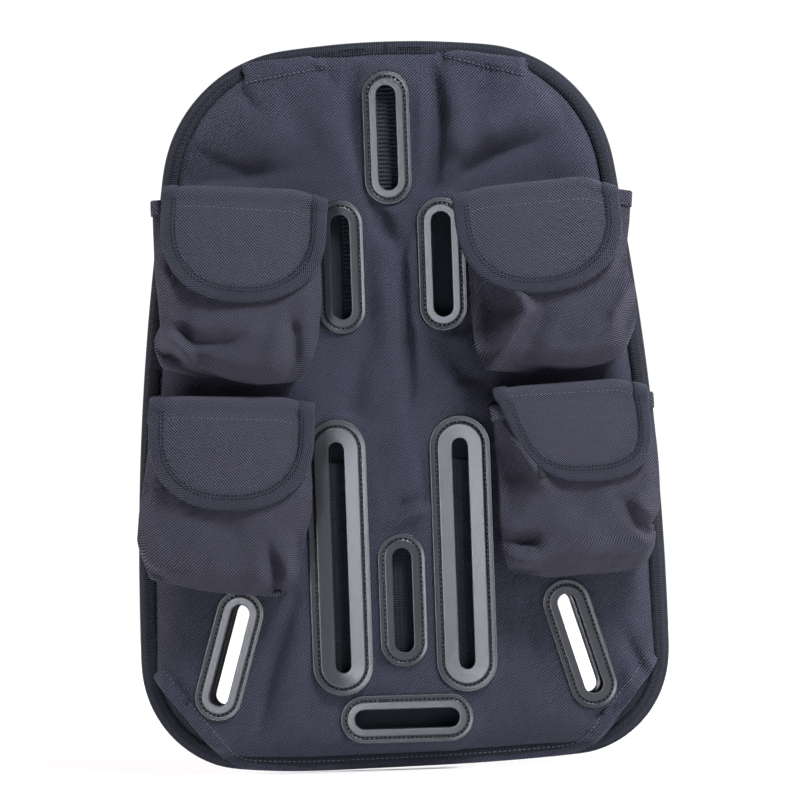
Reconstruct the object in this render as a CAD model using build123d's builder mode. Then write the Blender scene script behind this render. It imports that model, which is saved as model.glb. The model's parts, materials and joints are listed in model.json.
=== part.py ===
"""Soft back pad of a diver's buoyancy harness.

A padded fabric sleeve with nine webbing slots and four flap pockets on its outer face. It is modelled
upright, as worn: +Z runs up the spine, the pockets face -Y, and the origin is the middle of the back face.
Depths are counted in mm from the back face towards the pockets, so depth d lies at y = -d. Left and right
are as seen by someone who faces the pockets, so left is -X.
"""

import os
from math import cos, radians, sin

from build123d import *

os.makedirs("parts", exist_ok=True)

# Outline of the pad, right half: (x, z) of the ends and middles of its arcs
TOP_CENTRE = (0, 193.7)
TOP_END = (60, 190)
SHOULDER_MIDDLE = (100, 168)
SHOULDER_END = (121.5, 116)
SIDE_MIDDLE = (136, 0)
SIDE_END = (141.1, -132)
CORNER_MIDDLE = (128.5, -172)
BOTTOM_END = (98, -190.5)
BOTTOM_CENTRE = (0, -194.5)

# Layers, as depths from the back face
COVER_THICK = 1.6
FOAM_THICK = 4.0
FACING_THICK = 0.8
WEBBING_THICK = 1.8
SLEEVE_GAP = 4.6
PANEL_THICK = 1.0
TAPE_THICK = 0.8
TAPE_WIDTH = 8.6
SLOPE_WIDTH = 5.0
CORE_INSET = 15.0

FOAM_DEPTH = COVER_THICK
FACING_DEPTH = FOAM_DEPTH + FOAM_THICK
WEBBING_DEPTH = FACING_DEPTH + FACING_THICK
GAP_DEPTH = WEBBING_DEPTH + WEBBING_THICK
PANEL_DEPTH = GAP_DEPTH + SLEEVE_GAP
PANEL_FRONT = PANEL_DEPTH + PANEL_THICK
RIM_DEPTH = COVER_THICK
RIM_FRONT = RIM_DEPTH + PANEL_THICK
TAPE_FRONT = RIM_FRONT + TAPE_THICK

# Webbing sewn to the inner facing
STRAP_WIDTH = 50.0
STRAP_TOP = 176.0
STRAP_BOTTOM = 20.0
LUMBAR_WIDTH = 122.0
LUMBAR_TOP = -31.0
LUMBAR_BOTTOM = -158.0

# Loose corners of the front panel, right side: the hemmed edge runs from the first point to the second,
# and the other two points bound the mouth behind it
TOP_MOUTH = ((31, 187.5), (80, 183.5), (93, 160), (31, 160))
BOTTOM_MOUTH = ((135, -141), (100, -185.5), (84, -168), (116, -124))
HEM_WIDTH = 6.5
MOUTH_REACH = 30.0
HEM_THICK = 1.0
EDGE_MARGIN = 0.6

# Webbing slots and the moulded patches round them
SLOT_LENGTH, SLOT_WIDTH = 55.6, 10.0
PATCH_LENGTH, PATCH_WIDTH = 71.7, 25.7
LONG_SLOT_LENGTH, LONG_SLOT_WIDTH = 122.7, 8.0
LONG_PATCH_LENGTH, LONG_PATCH_WIDTH = 147.0, 31.0
PATCH_BASE = 1.0
PATCH_RAISE = 0.6
PATCH_RIM = 1.8
PATCH_BAND = 3.6
WAIST_SLOT_TILT = 16.5
WAIST_SLOT_PLACE = (93.5, -131.3)
REAR_PATCH_THICK = 1.2
REAR_SHIFT = 1.0
TUNNEL_MARGIN = 2.0

# name: (x, z, turn of the long side from +X, slot length, slot width, patch length, patch width)
SHORT = (SLOT_LENGTH, SLOT_WIDTH, PATCH_LENGTH, PATCH_WIDTH)
LONG = (LONG_SLOT_LENGTH, LONG_SLOT_WIDTH, LONG_PATCH_LENGTH, LONG_PATCH_WIDTH)
WAIST_X, WAIST_Z = WAIST_SLOT_PLACE
SLOTS = {
    "top_slot_patch": (0, 141.5, 90, *SHORT),
    "neck_slot_patch_left": (-27, 73.3, 90, *SHORT),
    "neck_slot_patch_right": (27, 73.3, 90, *SHORT),
    "long_slot_patch_left": (-33, -81.2, 90, *LONG),
    "long_slot_patch_right": (33, -81.2, 90, *LONG),
    "middle_slot_patch": (0, -105, 90, *SHORT),
    "waist_slot_patch_left": (-WAIST_X, WAIST_Z, 90 - WAIST_SLOT_TILT, *SHORT),
    "waist_slot_patch_right": (WAIST_X, WAIST_Z, 90 + WAIST_SLOT_TILT, *SHORT),
    "crotch_slot_patch": (0, -168, 0, *SHORT),
}

# Pockets: each is a wedge, deeper at its bottom, with its mouth at the top under a flap
POCKET_WIDTH = 87.0
POCKET_HEIGHT = 95.0
MOUTH_DEPTH = 18.0
BOTTOM_DEPTH = 28.0
POCKET_WALL = 1.2
FRONT_ROUND = 5.0
CORNER_ROUND = 9.0
POCKET_HEM_HEIGHT = 8.0
POCKET_HEM_THICK = 0.8

# name: (side, x of the middle of the mouth, z of the mouth, tilt, x shift of the flap)
POCKETS = {
    "upper_left": (-1, -84.0, 110.0, 4.2, 4.5),
    "upper_right": (1, 84.0, 110.0, 4.2, -4.5),
    "lower_left": (-1, -93.2, 0.0, 2.5, 2.0),
    "lower_right": (1, 93.2, 0.0, 2.5, -2.0),
}

# Flaps: a roof over the mouth, hinged along a fold, and a D-shaped lid in front
FLAP_WIDTH = 88.0
FLAP_STRAIGHT = 14.0
FLAP_RADIUS = FLAP_WIDTH / 2
FLAP_THICK = 1.0
ROOF_RISE = 2.5
FOLD_DEPTH = 13.0
FOLD_GAP = 0.4
LID_GAP = 2.2
BINDING_WIDTH = 7.5
BINDING_THICK = 0.6
BINDING_TOP = 1.5
FASTENER_THICK = 0.9
LOOP_SIZE = (54.0, 32.0)
LOOP_DROP = 10.0
HOOK_SIZE = (46.0, 20.0)
HOOK_DROP = 13.0


def sleeve_face(inset, depth):
    """The pad's outline, drawn in by inset, on the plane at this depth."""
    with BuildSketch(Plane.XZ.offset(depth)) as face:
        with BuildLine():
            ThreePointArc((-TOP_END[0], TOP_END[1]), TOP_CENTRE, TOP_END)
            for side in (-1, 1):
                top_end, shoulder_middle, shoulder_end = (
                    (side * x, z) for x, z in (TOP_END, SHOULDER_MIDDLE, SHOULDER_END)
                )
                side_middle, side_end, corner_middle, bottom_end = (
                    (side * x, z) for x, z in (SIDE_MIDDLE, SIDE_END, CORNER_MIDDLE, BOTTOM_END)
                )
                ThreePointArc(top_end, shoulder_middle, shoulder_end)
                ThreePointArc(shoulder_end, side_middle, side_end)
                ThreePointArc(side_end, corner_middle, bottom_end)
            ThreePointArc((-BOTTOM_END[0], BOTTOM_END[1]), BOTTOM_CENTRE, BOTTOM_END)
        make_face()
        if inset:
            offset(amount=-inset, mode=Mode.REPLACE)
    return face.sketch


def polygon_face(points, depth, side=1):
    """A face with straight sides at this depth, on the right side or mirrored to the left."""
    corners = [(side * x, z) for x, z in points]
    with BuildSketch(Plane.XZ.offset(depth)) as face:
        with BuildLine():
            Polyline(*corners, close=True)
        make_face()
    return face.sketch


def slot_face(slot, length, width, depth, shift=0):
    """A slot shape with round ends at the place and turn of the named slot."""
    x, z, turn = SLOTS[slot][:3]
    with BuildSketch(Plane.XZ.offset(depth)) as face:
        with Locations((x + shift, z)):
            SlotOverall(length, width, rotation=turn)
    return face.sketch


def rear_shift(slot):
    """Sideways step from a waist slot in the front panel to its opening in the back."""
    return REAR_SHIFT if slot.endswith("left") else -REAR_SHIFT


WAIST_SLOTS = ("waist_slot_patch_left", "waist_slot_patch_right")


def sleeve_form(skin):
    """The raised form of the sleeve with its sloping edge, skin mm inside the outer face."""
    slope_start = sleeve_face(TAPE_WIDTH + skin, RIM_FRONT - skin)
    slope_end = sleeve_face(TAPE_WIDTH + SLOPE_WIDTH + skin, PANEL_FRONT - skin)
    with BuildPart() as form:
        extrude(sleeve_face(TAPE_THICK, 0), amount=RIM_FRONT - skin)
        loft([slope_start, slope_end], ruled=True)
    return form.part


def hem_line(points):
    """The ends of a loose corner's hemmed edge, and the direction from it off the pad."""
    start = Vector(*points[0])
    end = Vector(*points[1])
    run = (end - start).normalized()
    out = Vector(run.Y, -run.X)
    return start, end, out if out.Y * start.Y > 0 else -out


def strip_face(points, side, near, far, depth):
    """A band along a loose corner's edge, between two distances outside it."""
    start, end, out = hem_line(points)
    corners = (start + out * near, end + out * near, end + out * far, start + out * far)
    return polygon_face([(corner.X, corner.Y) for corner in corners], depth, side)


def mouth_form(points, side, skin):
    """The flat-topped mouth at a loose corner; skin mm inside its outer face, it runs on outwards."""
    start, end, out = hem_line(points)
    run = (end - start).normalized() * skin
    reach = out * (MOUTH_REACH if skin else 0)
    corners = (
        start + run + reach,
        end - run + reach,
        Vector(*points[2]) - run,
        Vector(*points[3]) + run,
    )
    with BuildPart() as form:
        extrude(
            polygon_face([(corner.X, corner.Y) for corner in corners], TAPE_FRONT, side),
            amount=PANEL_FRONT - skin - TAPE_FRONT,
        )
        extrude(sleeve_face(EDGE_MARGIN, 0), amount=PANEL_FRONT, mode=Mode.INTERSECT)
    return form.part


MOUTHS = {
    "top_left_hem": (TOP_MOUTH, -1),
    "top_right_hem": (TOP_MOUTH, 1),
    "bottom_left_hem": (BOTTOM_MOUTH, -1),
    "bottom_right_hem": (BOTTOM_MOUTH, 1),
}


def finish(name, part):
    """Labels a finished piece and writes its file."""
    part.label = name
    export_step(part, f"parts/{name}.step")


# Padded back: cover, foam, facing and the webbing sewn to it

with BuildPart() as back_cover:
    extrude(sleeve_face(TAPE_THICK, 0), amount=COVER_THICK)
    with BuildSketch(Plane.XZ) as rebate:
        add(sleeve_face(0, 0))
        add(sleeve_face(TAPE_WIDTH, 0), mode=Mode.SUBTRACT)
    extrude(rebate.sketch, amount=TAPE_THICK, mode=Mode.SUBTRACT)
    for slot in WAIST_SLOTS:
        shift = rear_shift(slot)
        recess = slot_face(slot, PATCH_LENGTH, PATCH_WIDTH, 0, shift)
        extrude(recess, amount=REAR_PATCH_THICK, mode=Mode.SUBTRACT)
        opening = slot_face(slot, SLOT_LENGTH, SLOT_WIDTH, 0, shift)
        extrude(opening, amount=COVER_THICK, mode=Mode.SUBTRACT)
finish("back_cover", back_cover.part)

with BuildPart() as back_foam:
    extrude(sleeve_face(CORE_INSET, FOAM_DEPTH), amount=FOAM_THICK)
    for slot in WAIST_SLOTS:
        tunnel = slot_face(
            slot, SLOT_LENGTH + TUNNEL_MARGIN, SLOT_WIDTH + TUNNEL_MARGIN, FOAM_DEPTH
        )
        extrude(tunnel, amount=FOAM_THICK, mode=Mode.SUBTRACT)
finish("back_foam", back_foam.part)

with BuildPart() as inner_facing:
    extrude(sleeve_face(CORE_INSET, FACING_DEPTH), amount=FACING_THICK)
    for slot in WAIST_SLOTS:
        tunnel = slot_face(
            slot, SLOT_LENGTH + TUNNEL_MARGIN, SLOT_WIDTH + TUNNEL_MARGIN, FACING_DEPTH
        )
        extrude(tunnel, amount=FACING_THICK, mode=Mode.SUBTRACT)
finish("inner_facing", inner_facing.part)

WEBBINGS = {
    "centre_webbing": (STRAP_WIDTH, STRAP_TOP, STRAP_BOTTOM),
    "lumbar_webbing": (LUMBAR_WIDTH, LUMBAR_TOP, LUMBAR_BOTTOM),
}
for name, (width, top, bottom) in WEBBINGS.items():
    with BuildPart() as webbing:
        with BuildSketch(Plane.XZ.offset(WEBBING_DEPTH)):
            with Locations((0, (top + bottom) / 2)):
                Rectangle(width, top - bottom)
        extrude(amount=WEBBING_THICK)
    finish(name, webbing.part)

for slot in WAIST_SLOTS:
    with BuildPart() as rear_patch:
        shift = rear_shift(slot)
        extrude(slot_face(slot, PATCH_LENGTH, PATCH_WIDTH, 0, shift), amount=REAR_PATCH_THICK)
        opening = slot_face(slot, SLOT_LENGTH, SLOT_WIDTH, 0, shift)
        extrude(opening, amount=REAR_PATCH_THICK, mode=Mode.SUBTRACT)
    finish("rear_" + slot, rear_patch.part)

# Front panel: a sheet sewn under the edge tape, standing off the facing, with a mouth at each corner

with BuildPart() as front_panel:
    add(sleeve_form(0))
    for points, side in MOUTHS.values():
        add(mouth_form(points, side, 0))
    add(sleeve_form(PANEL_THICK), mode=Mode.SUBTRACT)
    for points, side in MOUTHS.values():
        add(mouth_form(points, side, PANEL_THICK), mode=Mode.SUBTRACT)
        beyond = strip_face(points, side, 0, MOUTH_REACH, 0)
        extrude(beyond, amount=PANEL_FRONT, mode=Mode.SUBTRACT)
    for slot, (_, _, _, length, width, _, _) in SLOTS.items():
        extrude(slot_face(slot, length, width, 0), amount=PANEL_FRONT, mode=Mode.SUBTRACT)
finish("front_panel", front_panel.part)

# Edge tape: a strip folded round the edge of the pad, one leg behind it and one in front

with BuildPart() as edge_binding:
    with BuildSketch(Plane.XZ) as rear_leg:
        add(sleeve_face(0, 0))
        add(sleeve_face(TAPE_WIDTH, 0), mode=Mode.SUBTRACT)
    extrude(rear_leg.sketch, amount=TAPE_THICK)
    with BuildSketch(Plane.XZ) as fold:
        add(sleeve_face(0, 0))
        add(sleeve_face(TAPE_THICK, 0), mode=Mode.SUBTRACT)
    extrude(fold.sketch, amount=TAPE_FRONT)
    with BuildSketch(Plane.XZ.offset(RIM_FRONT)) as front_leg:
        add(sleeve_face(0, RIM_FRONT))
        add(sleeve_face(TAPE_WIDTH, RIM_FRONT), mode=Mode.SUBTRACT)
    extrude(front_leg.sketch, amount=TAPE_THICK)
finish("edge_binding", edge_binding.part)

# Hems of the loose corners, and the hem that covers the tape along the bottom edge

for name, (points, side) in MOUTHS.items():
    with BuildPart() as corner_hem:
        extrude(strip_face(points, side, -HEM_WIDTH, 0, PANEL_FRONT), amount=HEM_THICK)
        extrude(sleeve_face(EDGE_MARGIN, 0), amount=PANEL_FRONT + HEM_THICK, mode=Mode.INTERSECT)
    finish(name, corner_hem.part)

HEM_END = BOTTOM_MOUTH[1][0] - HEM_WIDTH
with BuildPart() as bottom_edge_hem:
    with BuildSketch(Plane.XZ.offset(TAPE_FRONT)) as strip:
        add(sleeve_face(EDGE_MARGIN, TAPE_FRONT))
        add(sleeve_face(TAPE_WIDTH, TAPE_FRONT), mode=Mode.SUBTRACT)
        with Locations((0, BOTTOM_CENTRE[1])):
            Rectangle(2 * HEM_END, PATCH_LENGTH, mode=Mode.INTERSECT)
    extrude(strip.sketch, amount=HEM_THICK)
finish("bottom_edge_hem", bottom_edge_hem.part)

# Slot patches: a moulded plate with a raised rim, a stitch groove and a raised band round the slot

for slot, (_, _, _, length, width, patch_length, patch_width) in SLOTS.items():
    with BuildPart() as patch:
        extrude(slot_face(slot, patch_length, patch_width, PANEL_FRONT), amount=PATCH_BASE + PATCH_RAISE)
        with BuildSketch(Plane.XZ.offset(PANEL_FRONT + PATCH_BASE)) as groove:
            add(
                slot_face(
                    slot,
                    patch_length - 2 * PATCH_RIM,
                    patch_width - 2 * PATCH_RIM,
                    PANEL_FRONT + PATCH_BASE,
                )
            )
            add(
                slot_face(
                    slot,
                    length + 2 * PATCH_BAND,
                    width + 2 * PATCH_BAND,
                    PANEL_FRONT + PATCH_BASE,
                ),
                mode=Mode.SUBTRACT,
            )
        extrude(groove.sketch, amount=PATCH_RAISE, mode=Mode.SUBTRACT)
        opening = slot_face(slot, length, width, PANEL_FRONT)
        extrude(opening, amount=PATCH_BASE + PATCH_RAISE, mode=Mode.SUBTRACT)
    finish(slot, patch.part)

# Pockets. In a pocket's side plane the first coordinate is the depth from the panel's front face and the
# second is the drop below the mouth, square to the mouth.

FRONT_SLOPE = (BOTTOM_DEPTH - MOUTH_DEPTH) / POCKET_HEIGHT


def side_plane(pocket, along=0):
    """The side plane through the middle of a pocket, or along mm towards +X from it."""
    side, x, z, tilt, _ = POCKETS[pocket]
    turn = radians(tilt) * side
    across = Vector(cos(turn), 0, sin(turn))
    origin = Vector(x, -PANEL_FRONT, z) + across * along
    return Plane(origin=origin, x_dir=(0, -1, 0), z_dir=across)


def face_plane(pocket, along=0):
    """The plane of the panel behind a pocket: first coordinate across it, second up from its mouth."""
    side, x, z, tilt, _ = POCKETS[pocket]
    turn = radians(tilt) * side
    across = Vector(cos(turn), 0, sin(turn))
    origin = Vector(x, -PANEL_FRONT, z) + across * along
    return Plane(origin=origin, x_dir=across, z_dir=(0, -1, 0))


def front_depth(drop):
    """Depth of a pocket's front wall at this drop below the mouth."""
    return MOUTH_DEPTH + FRONT_SLOPE * drop


def side_profile(pocket, corners, width, along=0):
    """A bar across a pocket with this side profile."""
    with BuildPart() as bar:
        with BuildSketch(side_plane(pocket, along)):
            with BuildLine():
                Polyline(*corners, close=True)
            make_face()
        extrude(amount=width / 2, both=True)
    return bar.part


def pocket_form(pocket, grow, top, back):
    """The pocket's wedge, grown outwards by grow, from the height top above its mouth."""
    bottom = POCKET_HEIGHT + grow
    corners = (
        (back, -top),
        (front_depth(-top) + grow, -top),
        (front_depth(bottom) + grow, bottom),
        (back, bottom),
    )
    with BuildPart() as form:
        add(side_profile(pocket, corners, POCKET_WIDTH + 2 * grow))
        low_corners = form.edges().filter_by(Axis.Y).sort_by(Axis.Z)[:2]
        fillet(low_corners, radius=CORNER_ROUND + grow)
        front_face = form.faces().sort_by(Axis.Y)[0]
        mouth_edge = front_face.edges().sort_by(Axis.Z)[-1]
        rounded = [edge for edge in front_face.edges() if edge != mouth_edge]
        fillet(rounded, radius=FRONT_ROUND + grow)
    return form.part


def lid_outline(pocket, grow, open_top):
    """The flap's D shape as a prism, grown by grow; with open_top it runs on above the flap."""
    shift = POCKETS[pocket][4]
    rise = ROOF_RISE + FLAP_THICK
    radius = FLAP_RADIUS + grow
    top = rise + (POCKET_HEM_HEIGHT if open_top else 0)
    low = rise - FLAP_STRAIGHT
    with BuildPart() as prism:
        with BuildSketch(face_plane(pocket, shift)):
            with Locations((0, (top + low) / 2)):
                Rectangle(2 * radius, top - low)
            with Locations((0, low)):
                Circle(radius)
            with Locations((0, top + FLAP_RADIUS)):
                Rectangle(4 * FLAP_RADIUS, 2 * FLAP_RADIUS, mode=Mode.SUBTRACT)
        extrude(amount=2 * BOTTOM_DEPTH)
    return prism.part


LID_END = FLAP_STRAIGHT + FLAP_RADIUS
ROOF_TOP = ROOF_RISE + FLAP_THICK
NEAR = LID_GAP
FAR = LID_GAP + FLAP_THICK


def lid_profile(near, far, top, bottom):
    """Side profile of a layer of the lid between two distances in front of the pocket."""
    return (
        (front_depth(top) + near, top),
        (front_depth(top) + far, top),
        (front_depth(bottom) + far, bottom),
        (front_depth(bottom) + near, bottom),
    )


for pocket in POCKETS:
    shift = POCKETS[pocket][4]

    with BuildPart() as pocket_bag:
        add(pocket_form(pocket, 0, 0, 0))
        add(pocket_form(pocket, -POCKET_WALL, POCKET_WALL, POCKET_WALL), mode=Mode.SUBTRACT)
    finish(f"{pocket}_pocket_bag", pocket_bag.part)

    with BuildPart() as pocket_hem:
        add(pocket_form(pocket, POCKET_HEM_THICK, 0, TAPE_THICK))
        add(pocket_form(pocket, 0, POCKET_WALL, 0), mode=Mode.SUBTRACT)
        band = ((0, 0), (2 * BOTTOM_DEPTH, 0), (2 * BOTTOM_DEPTH, POCKET_HEM_HEIGHT), (0, POCKET_HEM_HEIGHT))
        add(side_profile(pocket, band, 2 * POCKET_WIDTH), mode=Mode.INTERSECT)
    finish(f"{pocket}_pocket_hem", pocket_hem.part)

    loop_width, loop_height = LOOP_SIZE
    loop_profile = lid_profile(0, FASTENER_THICK, LOOP_DROP, LOOP_DROP + loop_height)
    with BuildPart() as loop_patch:
        add(side_profile(pocket, loop_profile, loop_width, shift))
    finish(f"{pocket}_loop_patch", loop_patch.part)

    with BuildPart() as flap_root:
        leg = ((0, -ROOF_TOP), (FLAP_THICK, -ROOF_TOP), (FLAP_THICK, 0), (0, 0))
        add(side_profile(pocket, leg, FLAP_WIDTH, shift))
        fold = FOLD_DEPTH - FOLD_GAP / 2
        roof = ((0, -ROOF_TOP), (fold, -ROOF_TOP), (fold, -ROOF_RISE), (0, -ROOF_RISE))
        add(side_profile(pocket, roof, FLAP_WIDTH, shift))
    finish(f"{pocket}_flap_root", flap_root.part)

    with BuildPart() as flap_lid:
        fold = FOLD_DEPTH + FOLD_GAP / 2
        front = front_depth(-ROOF_TOP) + FAR
        roof = ((fold, -ROOF_TOP), (front, -ROOF_TOP), (front, -ROOF_RISE), (fold, -ROOF_RISE))
        add(side_profile(pocket, roof, FLAP_WIDTH, shift))
        add(side_profile(pocket, lid_profile(NEAR, FAR, -ROOF_TOP, LID_END), FLAP_WIDTH, shift))
        add(lid_outline(pocket, 0, False), mode=Mode.INTERSECT)
    finish(f"{pocket}_flap_lid", flap_lid.part)

    with BuildPart() as flap_binding:
        wide = FLAP_WIDTH + 4 * BINDING_THICK
        thick = lid_profile(NEAR - BINDING_THICK, FAR + BINDING_THICK, BINDING_TOP, LID_END)
        add(side_profile(pocket, thick, wide, shift))
        add(lid_outline(pocket, BINDING_THICK, False), mode=Mode.INTERSECT)
        add(lid_outline(pocket, -BINDING_WIDTH, True), mode=Mode.SUBTRACT)
        add(flap_lid.part, mode=Mode.SUBTRACT)
    finish(f"{pocket}_flap_binding", flap_binding.part)

    hook_width, hook_height = HOOK_SIZE
    hook_profile = lid_profile(NEAR - FASTENER_THICK, NEAR, HOOK_DROP, HOOK_DROP + hook_height)
    with BuildPart() as hook_patch:
        add(side_profile(pocket, hook_profile, hook_width, shift))
    finish(f"{pocket}_hook_patch", hook_patch.part)
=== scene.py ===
"""Looks of the harness back pad: twill sleeve, moulded slot patches, bound flaps and bellows pockets.

Lengths in this file are millimetres until a mesh is made. A point of the pad is (x, depth, z): x to the
right, depth out of the back face towards the pockets, z up. A pocket has its own coordinates: a across it,
b up from its mouth, c out from the panel.
"""

import json
import math

import bmesh
import bpy
import numpy as np
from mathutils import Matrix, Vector
from mathutils.geometry import convex_hull_2d

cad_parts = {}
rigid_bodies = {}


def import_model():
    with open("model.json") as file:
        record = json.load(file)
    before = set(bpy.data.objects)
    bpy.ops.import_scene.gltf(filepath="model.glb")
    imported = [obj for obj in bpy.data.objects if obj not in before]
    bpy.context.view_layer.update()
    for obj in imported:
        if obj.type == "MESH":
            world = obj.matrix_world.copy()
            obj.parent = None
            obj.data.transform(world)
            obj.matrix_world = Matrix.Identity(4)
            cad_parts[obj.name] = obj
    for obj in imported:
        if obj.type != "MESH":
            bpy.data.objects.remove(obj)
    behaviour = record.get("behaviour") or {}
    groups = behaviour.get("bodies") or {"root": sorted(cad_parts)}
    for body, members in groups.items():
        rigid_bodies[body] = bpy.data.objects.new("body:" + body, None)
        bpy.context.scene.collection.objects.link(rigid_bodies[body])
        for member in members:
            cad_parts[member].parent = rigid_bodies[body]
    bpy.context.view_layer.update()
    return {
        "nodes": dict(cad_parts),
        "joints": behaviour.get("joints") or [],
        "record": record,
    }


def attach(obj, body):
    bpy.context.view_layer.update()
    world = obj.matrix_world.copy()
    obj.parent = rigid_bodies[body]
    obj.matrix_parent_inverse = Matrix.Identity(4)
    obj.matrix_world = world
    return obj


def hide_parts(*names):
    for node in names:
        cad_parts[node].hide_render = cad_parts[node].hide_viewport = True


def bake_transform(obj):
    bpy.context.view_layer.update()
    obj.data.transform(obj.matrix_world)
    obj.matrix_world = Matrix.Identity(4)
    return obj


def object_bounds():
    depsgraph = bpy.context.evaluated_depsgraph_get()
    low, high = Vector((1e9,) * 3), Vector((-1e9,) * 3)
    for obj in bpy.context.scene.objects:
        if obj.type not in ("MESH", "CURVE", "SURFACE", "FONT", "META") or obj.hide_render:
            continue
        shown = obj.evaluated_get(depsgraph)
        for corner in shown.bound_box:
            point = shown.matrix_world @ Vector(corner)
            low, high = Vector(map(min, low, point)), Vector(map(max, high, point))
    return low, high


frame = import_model()

MM = 0.001


# ---------------------------------------------------------------- reading the frame

def node_points(name):
    """The vertices of a CAD node as (x, depth, z) in mm."""
    points = np.array([v.co[:] for v in frame["nodes"][name].data.vertices]) / MM
    return points * (1, -1, 1)


def long_axis(flat):
    """Centre, long direction and short direction of a flat cloud of points."""
    centre = (flat.min(0) + flat.max(0)) / 2
    _, _, axes = np.linalg.svd(flat - flat.mean(0), full_matrices=False)
    along = axes[0] * (1 if axes[0][np.abs(axes[0]).argmax()] > 0 else -1)
    return centre, along, np.array((along[1], -along[0]))


# Depths of the front panel's, the inner facing's and the edge tape's outer face
PANEL = node_points("front_panel")[:, 1].max()
FACING = node_points("inner_facing")[:, 1].max()
RIM = node_points("edge_binding")[:, 1].max()
TAPE_WIDTH = 8.6

# The bottom edge sags a little on the left
SAG_DEPTH, SAG_CENTRE, SAG_WIDTH = 2.3, -72.0, 48.0


def smooth(x, low, high):
    """0 below low, 1 above high, smooth between."""
    t = np.clip((x - low) / (high - low), 0, 1)
    return t * t * (3 - 2 * t)


def at_depth(flat, depth):
    """Points (x, depth, z) from points (x, z) and their depth."""
    return np.column_stack((flat[:, 0], np.broadcast_to(depth, len(flat)), flat[:, 1]))


def straight_normals(points, way=1.0):
    """One normal for each point, straight out of the pad's front, or of its back where way is -1."""
    return np.tile((0.0, way, 0.0), (len(points), 1))


def ring_closed(points):
    """A ring of points with its first point again at the end."""
    return np.vstack((points, points[:1]))


def run_along(points):
    """Distance of each point along a line of points, from 0 at its start."""
    return np.concatenate(((0,), np.cumsum(np.linalg.norm(np.diff(points, axis=0), axis=1))))


def resample(points, count, closed=True):
    """Points at even steps along a line of points."""
    if closed:
        points = ring_closed(points)
    run = run_along(points)
    at = np.linspace(0, run[-1], count, endpoint=not closed)
    return np.column_stack([np.interp(at, run, points[:, i]) for i in range(points.shape[1])])


def outline_points(count):
    """The pad's convex outline, anticlockwise as seen from the pockets, starting near the top."""
    flat = node_points("edge_binding")[:, [0, 2]]
    order = convex_hull_2d([Vector(p) for p in flat])
    ring = flat[order]
    turn = np.sum(ring[:, 0] * np.roll(ring[:, 1], -1) - np.roll(ring[:, 0], -1) * ring[:, 1])
    if turn < 0:
        ring = ring[::-1]
    ring = resample(ring, 1200)
    for _ in range(60):
        ring = (np.roll(ring, 1, 0) + 2 * ring + np.roll(ring, -1, 0)) / 4
    low = smooth(-ring[:, 1], 150, 188)
    ring[:, 1] -= SAG_DEPTH * np.exp(-(((ring[:, 0] - SAG_CENTRE) / SAG_WIDTH) ** 2)) * low
    start = np.argmax(ring[:, 1] - np.abs(ring[:, 0]))
    return resample(np.roll(ring, -start, 0), count)


def to_right(run):
    """Unit vectors to the right of directions, as seen from the pockets."""
    side = np.column_stack((run[:, 1], -run[:, 0]))
    return side / np.linalg.norm(side, axis=1)[:, None]


def ring_normals(ring):
    """Outward normals of an anticlockwise ring."""
    return to_right(np.roll(ring, -1, 0) - np.roll(ring, 1, 0))


EDGE = outline_points(240)
EDGE_OUT = ring_normals(EDGE)


def inset(p):
    """How far inside the pad's outline each point lies."""
    return np.min(-(p @ EDGE_OUT.T) + np.sum(EDGE * EDGE_OUT, axis=1), axis=1)


class Slot:
    """One webbing slot: centre, directions, end radius, half its straight part, and its patch's border."""

    def __init__(self, mount):
        self.name = mount["name"].replace("slot", "slot_patch")
        flat = node_points(self.name)[:, [0, 2]]
        self.centre, self.along, self.across = long_axis(flat)
        self.radius = mount["dims"]["hole_r_mm"]
        self.straight = mount["dims"]["slot_length_mm"] / 2 - self.radius
        self.border = np.abs((flat - self.centre) @ self.across).max() - self.radius

    def distance(self, p):
        """Distance outside the slot's edge; inside it is negative."""
        reach = p - self.centre
        over = np.clip(np.abs(reach @ self.along) - self.straight, 0, None)
        return np.hypot(over, reach @ self.across) - self.radius

    def ring(self, out, count):
        """Points at even steps round the slot, at a distance outside its edge."""
        radius = self.radius + out
        turns = np.linspace(-math.pi / 2, math.pi / 2, 40)
        cap = np.column_stack((self.straight + radius * np.cos(turns), radius * np.sin(turns)))
        loop = resample(np.vstack((cap, -cap)), count)
        return self.centre + loop[:, :1] * self.along + loop[:, 1:] * self.across


SLOTS = [Slot(m) for m in frame["record"]["mounts"] if m["kind"] == "slide"]

# How far each loose corner's hem is drawn in at the two ends of its edge
DRAWN_IN = {"top_left_hem": (0.6, 0.8), "top_right_hem": (0.0, 3.2)}


class Corner:
    """A loose corner of the front panel: the line of its hemmed edge, the hem's longest outer side."""

    def __init__(self, name):
        self.name = name
        flat = node_points(name)[:, [0, 2]]
        hull = flat[convex_hull_2d([Vector(p) for p in flat])]
        sides = np.roll(hull, -1, 0) - hull
        normals = np.column_stack((sides[:, 1], -sides[:, 0]))
        middle = flat.mean(0)
        normals *= np.sign(np.sum(normals * (hull - middle), axis=1))[:, None]
        lengths = np.linalg.norm(sides, axis=1) * (normals @ middle > 0)
        longest = lengths.argmax()
        side = sides[longest]
        self.along = side / np.linalg.norm(side) * (1 if side[np.abs(side).argmax()] > 0 else -1)
        self.out = normals[longest] / np.linalg.norm(normals[longest])
        self.reach = hull[longest] @ self.out
        ends = (hull[longest] @ self.along, (hull[longest] + side) @ self.along)
        self.low, self.high = min(ends), max(ends)
        self.drawn_in = DRAWN_IN.get(name, (0, 0))

    def outside(self, p):
        """Distance outside the hemmed edge."""
        return p @ self.out - self.reach + np.interp(self.share(p), (0, 1), self.drawn_in)

    def share(self, p):
        """Place along the edge, from 0 to 1."""
        return (p @ self.along - self.low) / (self.high - self.low)


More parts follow.
